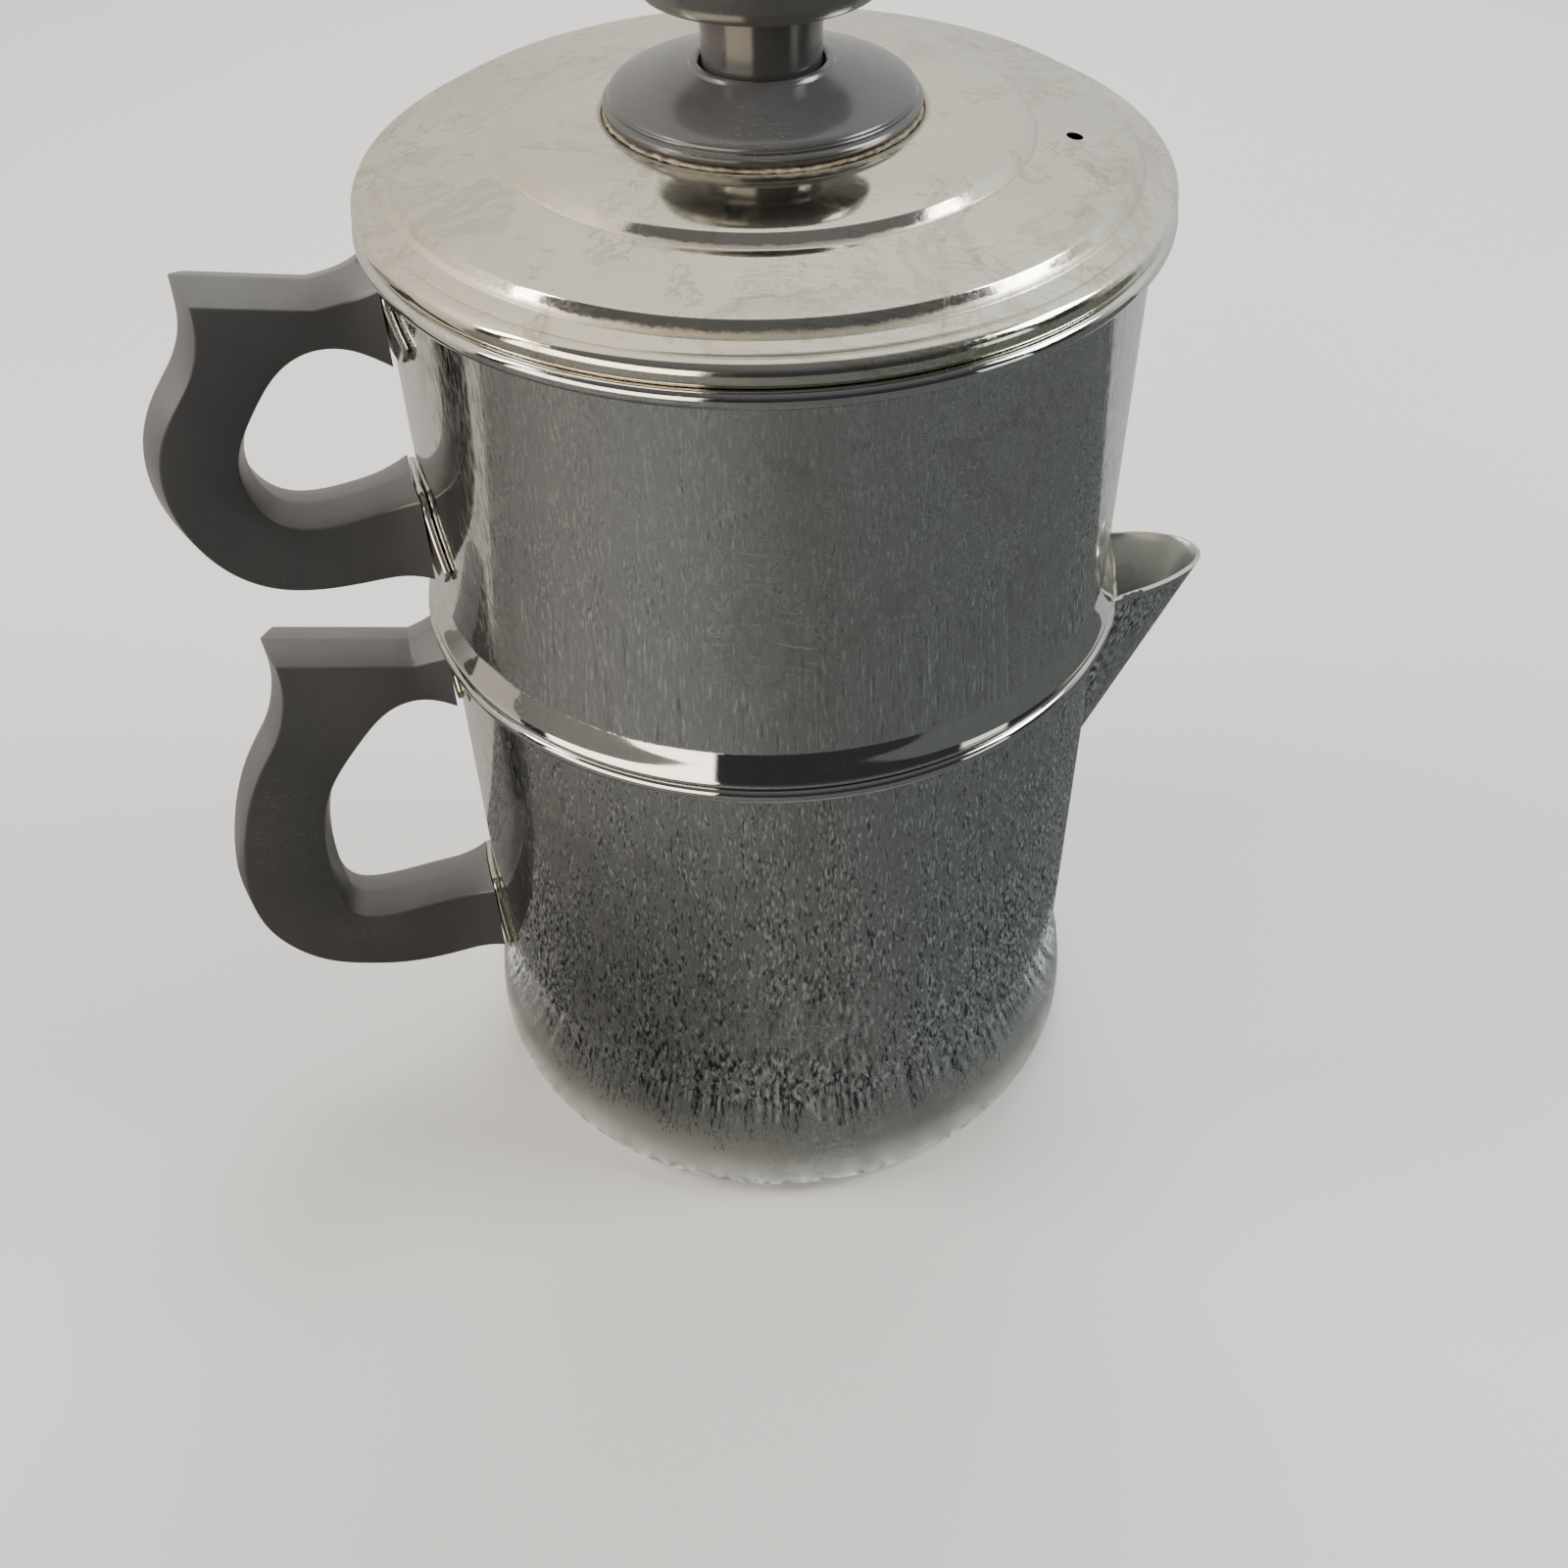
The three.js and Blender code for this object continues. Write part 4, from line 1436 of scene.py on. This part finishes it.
@dataclass
class FilterPlate:
    """A flat steel disc with one centre hole and rings of 6, 12, 18... holes.

    Attributes:
        name: the piece's name.
        radius: the disc's radius.
        bottom: the height of its underside.
        centre_hole: radius of the hole in its middle.
        rings: how many rings of holes it has.
        pitch: the distance between rings.
        hole: radius of each hole.
        sheet: its thickness.
    """

    name: str
    radius: float
    bottom: float
    centre_hole: float
    rings: int
    pitch: float
    hole: float
    sheet: float = 0.7

    def build(self) -> Piece:
        """Draws the outline and the holes as circles, fills between them and thickens it.

        Returns:
            The finished piece.
        """
        circles = [(0.0, 0.0, self.radius, 120), (0.0, 0.0, self.centre_hole, 20)]
        for ring in range(1, self.rings + 1):
            for index in range(6 * ring):
                angle = 2 * math.pi * index / (6 * ring)
                reach = ring * self.pitch
                circles.append((reach * math.cos(angle), reach * math.sin(angle), self.hole, 16))
        deselect()
        drawn = []
        for x, y, radius, sides in circles:
            bpy.ops.mesh.primitive_circle_add(
                vertices=sides, radius=radius * MM, location=(x * MM, y * MM, self.bottom * MM))
            drawn.append(bpy.context.active_object)
        deselect()
        for circle in drawn:
            circle.select_set(True)
        bpy.context.view_layer.objects.active = drawn[0]
        bpy.ops.object.join()
        piece = named(self.name)
        edit(piece)
        bpy.ops.mesh.fill(use_beauty=True)
        bpy.ops.mesh.normals_make_consistent(inside=False)
        deselect()
        modify(piece, "SOLIDIFY", thickness=self.sheet * MM, offset=0.0)
        edit(piece)
        low = min(point.co.z for point in piece.data.vertices)
        bpy.ops.transform.translate(value=(0, 0, self.bottom * MM - low))
        deselect()
        modify(piece, "BEVEL", width=0.12 * MM, segments=1, limit_method="ANGLE",
               angle_limit=math.radians(60))
        return finish_shell(piece)


# ------------------------------------------------------------------ basket and spreader


@dataclass
class Basket:
    """The grounds basket that stands in the neck."""

    radius: float = 64.6
    flange: float = 68.7
    bottom: float = 120.2
    top: float = 137.4
    opening: float = 58.0

    def cup(self) -> Piece:
        """Models the cup with its rolled flange.

        Returns:
            The finished piece.
        """
        inner = self.radius - SHEET
        profile = [
            (self.opening, self.bottom),
            *arc((self.radius - 1.0, self.bottom + 1.0), 1.0, -90, 0, 4),
            (self.radius, self.top - 1.2),
            (self.radius + 0.35, self.top - 0.35),
            (self.flange - 0.3, self.top + 0.1),
            (self.flange, self.top + 0.3), (self.flange - 0.05, self.top + 0.6),
            (self.flange - 0.4, self.top + 0.7),
            (inner + 0.4, self.top + 0.7), (inner, self.top + 0.2),
            (inner, self.bottom + SHEET + 0.6), (inner - 0.6, self.bottom + SHEET),
            (self.opening, self.bottom + SHEET),
            (self.opening, self.bottom),
        ]
        return raised("basket_strainer_cup", profile, SHELL_SIDES)

    def build(self, paints: Paints) -> None:
        """Models and dresses the basket.

        Args:
            paints: the finishes.
        """
        dress(self.cup(), paints.inner, Body.BASKET, Slot.INNER_STEEL, "basket_cup")
        plate = FilterPlate("basket_filter", 63.4, 121.3, 1.6, 3, 16.0, 1.6)
        dress(plate.build(), paints.inner, Body.BASKET, Slot.INNER_STEEL, "basket_filter_plate")


@dataclass
class Spreader:
    """The perforated water spreader that lies on the basket, with its small knob."""

    radius: float = 68.6
    height: float = 138.4
    knob_base: float = 139.4

    def knob(self) -> Piece:
        """Models the small lifting knob.

        Returns:
            The finished piece.
        """
        base = self.knob_base
        profile = [
            (0.0, base), (4.7, base), (5.0, base + 0.3),
            *flowing([(4.8, base + 0.9), (4.0, base + 2.4), (3.4, base + 5.5), (3.7, base + 8.2),
                      (5.4, base + 10.2), (6.8, base + 11.8), (6.95, base + 13.4),
                      (5.9, base + 15.1), (3.4, base + 15.85)], 5),
            (0.0, base + 16.0),
        ]
        return raised("spreader_lifting_knob", profile, SMALL_SIDES)

    def build(self, paints: Paints) -> None:
        """Models and dresses the spreader.

        Args:
            paints: the finishes.
        """
        body = Body.SPREADER
        plate = FilterPlate("spreader_disc", self.radius, self.height, 2.0, 2, 22.0, 2.0)
        dress(plate.build(), paints.inner, body, Slot.INNER_STEEL, "spreader_plate")
        dress(self.knob(), paints.knob, body, Slot.BAKELITE, "spreader_knob")
        repaint("spreader_rivet", paints.trim)


# ------------------------------------------------------------------ lid


@dataclass
class Lid:
    """The stepped lid with its rolled bead, skirt, steam hole and knob."""

    bead: tuple[float, float, float] = (70.6, 218.35, 2.3)
    skirt: float = 68.4
    skirt_bottom: float = 209.0
    top: float = 229.2
    bore: float = 2.7
    vent: tuple[float, float, float] = (54.0, -5.5, 1.5)
    flange_height: float = 230.5
    socket_floor: float = 235.0

    def shell(self) -> Piece:
        """Models the lid and drills its steam hole.

        Returns:
            The finished piece.
        """
        radius, height, tube = self.bead
        inner = self.skirt - SHEET
        under = self.top - SHEET
        outer_step = flowing([
            (69.3, 220.75), (68.2, 221.2), (67.2, 221.55), (66.85, 221.75), (66.55, 222.1),
            (65.25, 223.8), (65.0, 224.05), (64.6, 224.2), (64.0, 224.3)], 3)
        plateau = flowing([
            (64.0, 224.3), (60.0, 224.75), (56.0, 225.25), (52.0, 225.85), (49.3, 226.32)], 3)[1:]
        inner_step = flowing([
            (49.3, 226.32), (48.1, 226.45), (47.7, 226.55), (47.4, 226.8), (45.9, 228.15),
            (45.6, 228.35), (45.1, 228.5), (44.0, 228.7)], 3)[1:]
        dome = flowing([
            (44.0, 228.7), (42.0, 229.0), (39.0, 229.36), (35.0, 229.68), (31.0, 229.84),
            (28.8, 229.88)], 3)[1:]
        profile = [
            (self.bore, under), (29.5, under), (44.0, under - 0.7), (45.6, 227.2),
            (46.9, 225.6), (48.5, 225.2), (63.8, 223.7), (64.9, 223.2), (65.4, 221.6),
            (66.4, 220.7), (inner, 219.6), (inner, self.skirt_bottom + 0.2),
            (inner + 0.3, self.skirt_bottom), (self.skirt - 0.2, self.skirt_bottom),
            (self.skirt, self.skirt_bottom + 0.3), (self.skirt, 217.2),
            *arc((radius, height), tube, -154, 112, 22),
            *outer_step, *plateau, *inner_step, *dome,
            (28.3, 229.75), (28.0, 229.4), (27.9, self.top), (self.bore, self.top),
            (self.bore, under),
        ]
        piece = raised("lid_cover", profile, SHELL_SIDES)
        x, y, hole = self.vent
        deselect()
        bpy.ops.mesh.primitive_cylinder_add(
            vertices=24, radius=hole * MM, depth=0.02, location=(x * MM, y * MM, 0.226))
        carve(piece, named("vent_cutter"))
        return finish_shell(piece)

    def flange(self) -> Piece:
        """Models the domed foot of the knob with its grooved edge and socket.

        Returns:
            The finished piece.
        """
        base = self.flange_height
        dome = flowing([
            (26.85, base + 2.35), (26.5, base + 2.95), (25.2, base + 3.7), (22.5, base + 4.65),
            (18.0, base + 5.85), (14.6, base + 6.5), (13.3, base + 6.75)], 5)
        profile = [
            (self.bore, base), (26.9, base), (27.6, base + 0.15), (27.8, base + 0.5),
            (27.8, base + 1.2), (27.55, base + 1.5), (27.15, base + 1.62), (26.95, base + 1.8),
            (26.95, base + 2.05), (27.0, base + 2.2),
            *dome,
            (12.75, base + 6.85), (12.5, base + 7.1), (12.3, base + 7.45), (11.9, base + 7.55),
            (11.3, base + 7.5), (10.95, base + 7.2),
            (10.95, self.socket_floor), (self.bore, self.socket_floor), (self.bore, base),
        ]
        return raised("lid_knob_foot", profile, KNOB_SIDES)

    def grip(self) -> Piece:
        """Models the stem and disc of the knob.

        Returns:
            The finished piece.
        """
        disc = 249.8
        screw_top = 246.3
        profile = [
            (0.0, screw_top), (self.bore, screw_top), (self.bore, self.socket_floor + 0.3),
            (10.0, self.socket_floor + 0.3), (10.3, self.socket_floor + 0.6),
            *flowing([(10.35, 238.0), (10.5, 243.0), (10.8, 247.6), (11.3, 249.2),
                      (12.6, disc)], 4),
            (19.6, disc), (20.3, disc + 0.2), (20.65, disc + 0.8),
            (20.7, disc + 2.5), (20.7, disc + 5.0),
            *flowing([(20.6, disc + 5.5), (20.1, disc + 6.15), (17.5, disc + 6.9),
                      (10.0, disc + 7.6)], 4),
            (0.0, disc + 7.8),
        ]
        return raised("lid_knob_handle", profile, KNOB_SIDES)

    def washer(self) -> Piece:
        """Models the washer with the lumpy scale that has grown round its edge.

        Returns:
            The finished piece.
        """
        low, high = self.top + 0.3, self.flange_height - 0.3
        outer = 27.9
        profile = [
            (self.bore, low), (outer - 0.6, low), *arc((outer - 0.45, (low + high) / 2),
                                                       (high - low) / 2, -80, 80, 6),
            (outer - 0.6, high), (self.bore, high), (self.bore, low),
        ]
        piece = raised("lid_knob_scale_washer", profile, 220)
        lumps = bpy.data.textures.new("scale_lumps", "CLOUDS")
        lumps.noise_scale = 0.0011
        lumps.noise_depth = 3
        edge = piece.vertex_groups.new(name="edge")
        edge.add([p.index for p in piece.data.vertices
                  if math.hypot(p.co.x, p.co.y) > (outer - 0.7) * MM], 1.0, "ADD")
        modify(piece, "DISPLACE", texture=lumps, strength=0.9 * MM, mid_level=0.5,
               vertex_group="edge", texture_coords="LOCAL")
        return finish_shell(piece)

    def build(self, paints: Paints) -> None:
        """Models and dresses the lid.

        Args:
            paints: the finishes.
        """
        body = Body.LID
        dress(self.shell(), paints.lid, body, Slot.LID_STEEL, "lid_shell")
        dress(self.flange(), paints.knob, body, Slot.BAKELITE, "lid_knob_flange")
        dress(self.grip(), paints.knob, body, Slot.BAKELITE, "lid_knob_grip")
        dress(self.washer(), paints.deposit, body, Slot.WASHER_STEEL, "lid_knob_washer")
        repaint("lid_lock_washer", paints.trim)
        repaint("lid_knob_screw", paints.trim)


# ------------------------------------------------------------------ studio


@dataclass
class Studio:
    """The floor, the light and the camera."""

    camera_place: tuple[float, float, float] = (0.0, -0.288824, 0.344953)
    yaw: float = 0.005567
    pitch: float = 0.769518
    roll: float = -0.017385
    focal: float = 1686.406
    frame_width: float = 1600.0
    sensor: float = 36.0
    floor_half: float = 4.0
    cloth_dark: tuple = colour(0.026, 0.028, 0.030)
    cloth_warm: tuple = colour(0.38, 0.362, 0.333)
    cloth_cool: tuple = colour(0.30, 0.327, 0.316)
    lit_side: float = -0.77
    lit_gain: float = 1.65
    shade_gain: float = 0.6
    foot_glow_gain: float = 3.4
    foot_glow_ring: tuple[float, float] = (0.075, 0.092)
    far_cloth: tuple[float, float] = (0.10, 0.26)
    speckle_scale: float = 500.0
    speckle_edges: tuple[float, float] = (0.46, 0.57)
    drop: float = 0.0002
    card_turn: float = 14.3
    card_away: float = 0.0745
    card_width: float = 3.0
    card_height: float = 1.3
    card_left: tuple = colour(0.72, 0.65, 0.58)
    card_right: tuple = colour(0.68, 0.71, 0.70)
    card_low: float = 0.85
    card_high: float = 1.62
    room_dark: tuple = colour(0.040, 0.042, 0.046)
    room_ceiling: tuple = colour(0.16, 0.16, 0.17)
    room_behind: tuple = colour(0.85, 0.83, 0.80)
    windows: tuple = (
        (-1.24, -0.30, -0.35, 0.55, colour(5.2, 4.6, 3.8)),
        (0.95, 1.25, -0.10, 0.30, colour(1.6, 1.75, 1.6)),
    )

    def camera(self) -> None:
        """Sets the camera at the viewing angle."""
        ahead = Vector((
            math.sin(self.yaw) * math.cos(self.pitch),
            math.cos(self.yaw) * math.cos(self.pitch),
            -math.sin(self.pitch),
        ))
        level = Vector((math.cos(self.yaw), -math.sin(self.yaw), 0.0))
        upright = level.cross(ahead)
        right = level * math.cos(self.roll) + upright * math.sin(self.roll)
        up = upright * math.cos(self.roll) - level * math.sin(self.roll)
        data = bpy.data.cameras.new("camera")
        data.sensor_width = self.sensor
        data.lens = self.focal / self.frame_width * self.sensor
        data.clip_start = 0.01
        camera = bpy.data.objects.new("camera", data)
        turn = Matrix((right, up, -ahead)).transposed().to_4x4()
        camera.matrix_world = Matrix.Translation(self.camera_place) @ turn
        bpy.context.scene.collection.objects.link(camera)
        bpy.context.scene.camera = camera

    def surface(self, piece: Piece, name: str) -> tuple[Bench, Socket]:
        """Gives a stage piece an empty material.

        Args:
            piece: the stage piece.
            name: the material's name.

        Returns:
            The material's bench and its object coordinates.
        """
        material = bpy.data.materials.new(name)
        material.use_nodes = True
        material.node_tree.nodes.clear()
        piece.data.materials.append(material)
        bench = Bench(material.node_tree)
        return bench, bench.put("ShaderNodeTexCoord").outputs["Object"]

    def reflect(self, bench: Bench, plain: bpy.types.Node, mirrored: bpy.types.Node) -> None:
        """Ends a material that looks different in a reflection.

        Args:
            bench: the material's bench.
            plain: the shader seen directly.
            mirrored: the shader seen in reflections.
        """
        ray = bench.put("ShaderNodeLightPath")
        mixed = bench.put("ShaderNodeMixShader", {
            0: ray.outputs["Is Glossy Ray"], 1: plain.outputs[0], 2: mirrored.outputs[0]})
        bench.put("ShaderNodeOutputMaterial", {"Surface": mixed.outputs[0]})

    def bearing(self, bench: Bench, place: Socket) -> tuple[Socket, bpy.types.Node]:
        """The angle of a place about the pot's axis, 0 at the front.

        Args:
            bench: the bench of the material or world.
            place: the coordinates.

        Returns:
            The angle in radians, and the node with the coordinates' parts.
        """
        split = bench.put("ShaderNodeSeparateXYZ", {0: place})
        behind = bench.sum("MULTIPLY", split.outputs[1], -1.0)
        return bench.sum("ARCTAN2", split.outputs[0], behind), split

    def floor(self) -> None:
        """A pale floor that polished steel mirrors as a dark speckled cloth which glows: painted
        light far off on the lit side, painted shade near the pot on that side, and a painted
        bright ring round the foot.
        """
        deselect()
        bpy.ops.mesh.primitive_plane_add(size=2 * self.floor_half, location=(0, 0, -self.drop))
        piece = named("floor")
        bench, place = self.surface(piece, "pale_floor")
        spread = bench.noise(place, 3.0, 3.0)
        pale = bench.blend(spread, colour(0.72, 0.715, 0.70), colour(0.78, 0.775, 0.76))
        speckle = bench.ramp(bench.noise(place, self.speckle_scale, 2.0, 0.6),
                             *self.speckle_edges)
        side, _ = self.bearing(bench, place)
        fibre = bench.blend(bench.ramp(side, -1.2, 0.9), self.cloth_warm, self.cloth_cool)
        cloth = bench.blend(speckle, self.cloth_dark, fibre)
        off = bench.sum("ABSOLUTE", bench.sum("SUBTRACT", side, self.lit_side))
        away = bench.put("ShaderNodeVectorMath", {0: place}, operation="LENGTH").outputs["Value"]
        # Painted light and shade: the mirrored cloth glows brighter far off on the lit side and
        # darker near the pot on that side.
        far = bench.ramp(off, 0.2, 1.0, self.lit_gain, 1.0)
        close = bench.ramp(off, 0.2, 0.8, self.shade_gain, 1.0)
        distant = bench.ramp(away, *self.far_cloth)
        lit = bench.sum("MULTIPLY_ADD", distant, bench.sum("SUBTRACT", far, close), close)
        # Painted light: a bright ring of glow round the foot, which only the steel mirrors.
        lit = bench.sum("ADD", lit, bench.ramp(away, *self.foot_glow_ring, self.foot_glow_gain, 0.0))
        plain = bench.put("ShaderNodeBsdfDiffuse", {"Color": pale})
        mirrored = bench.put("ShaderNodeEmission", {"Color": cloth, "Strength": lit})
        self.reflect(bench, plain, mirrored)

    def card(self) -> None:
        """A glowing pale card close behind the pot, brighter towards its top, which only
        reflections show: painted reflected light in place of a lit wall.
        """
        deselect()
        bpy.ops.mesh.primitive_plane_add(size=1.0)
        piece = bpy.context.active_object
        piece.scale = (self.card_width, self.card_height, 1.0)
        piece.rotation_euler = (math.radians(90), 0, math.radians(self.card_turn))
        turn = math.radians(self.card_turn)
        piece.location = (-self.card_away * math.sin(turn), self.card_away * math.cos(turn),
                          self.card_height / 2)
        piece = named("glow_card")
        bench, place = self.surface(piece, "card_white")
        split = bench.put("ShaderNodeSeparateXYZ", {0: place})
        across = bench.ramp(split.outputs[0], -0.25, 0.25)
        white = bench.blend(across, self.card_left, self.card_right)
        # Painted light: the card glows, brighter towards its top.
        lift = bench.ramp(split.outputs[2], 0.0, 0.5, self.card_low, self.card_high)
        glow = bench.put("ShaderNodeEmission", {"Color": white, "Strength": lift})
        clear = bench.put("ShaderNodeBsdfTransparent")
        self.reflect(bench, clear, glow)

    def sky(self) -> None:
        """A soft room: dim before the pot with two tall windows, and bright behind it."""
        world = bpy.data.worlds.new("soft_room")
        world.use_nodes = True
        world.node_tree.nodes.clear()
        bench = Bench(world.node_tree)
        place = bench.put("ShaderNodeTexCoord").outputs["Generated"]
        side, split = self.bearing(bench, place)
        rise = split.outputs[2]
        behind = bench.ramp(split.outputs[1], -0.05, 0.3)
        high = bench.ramp(rise, 0.3, 1.0)
        room = bench.blend(high, self.room_dark, self.room_ceiling)
        around = bench.blend(behind, room, self.room_behind)
        for start, end, low, top, glow in self.windows:
            inside = bench.sum("MULTIPLY", bench.ramp(side, start, start + 0.03),
                               bench.ramp(side, end - 0.03, end, 1.0, 0.0))
            tall = bench.sum("MULTIPLY", bench.ramp(rise, low, low + 0.04),
                             bench.ramp(rise, top - 0.06, top, 1.0, 0.0))
            around = bench.blend(bench.sum("MULTIPLY", inside, tall), around, glow)
        ray = bench.put("ShaderNodeLightPath")
        seen = bench.blend(ray.outputs["Is Camera Ray"], around, colour(0.78, 0.775, 0.76))
        background = bench.put("ShaderNodeBackground", {"Color": seen, "Strength": 1.0})
        bench.put("ShaderNodeOutputWorld", {"Surface": background.outputs[0]})
        bpy.context.scene.world = world

    def lamp(self, name: str, place: tuple, size: float, power: float, tint: tuple) -> None:
        """Hangs a square soft lamp that looks at the pot.

        Args:
            name: the lamp's name.
            place: where it hangs, in metres.
            size: its side, in metres.
            power: its power in watts.
            tint: its colour.
        """
        data = bpy.data.lights.new(name, "AREA")
        data.size = size
        data.energy = power
        data.color = tint
        lamp = bpy.data.objects.new(name, data)
        aim = Vector((0, 0, 0.13)) - Vector(place)
        lamp.rotation_euler = aim.to_track_quat("-Z", "Y").to_euler()
        lamp.location = place
        bpy.context.scene.collection.objects.link(lamp)

    def build(self) -> None:
        """Sets the whole studio."""
        self.camera()
        self.floor()
        self.card()
        self.sky()
        self.lamp("left_soft", (-0.9, -0.05, 0.75), 0.45, 9.0, (1.0, 0.96, 0.91))
        self.lamp("right_soft", (0.9, -0.05, 0.85), 0.45, 10.0, (0.97, 1.0, 1.0))
        self.lamp("back_soft", (0.1, 0.9, 1.0), 0.8, 12.0, (1.0, 1.0, 0.98))


def main() -> None:
    """Builds the studio and the pot."""
    logging.basicConfig(level=logging.INFO, format="%(name)s: %(message)s")
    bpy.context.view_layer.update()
    Studio().build()
    paints = Paints()
    for part in (Server(), Dripper(), Basket(), Spreader(), Lid()):
        part.build(paints)


if __name__ == "__main__":
    main()
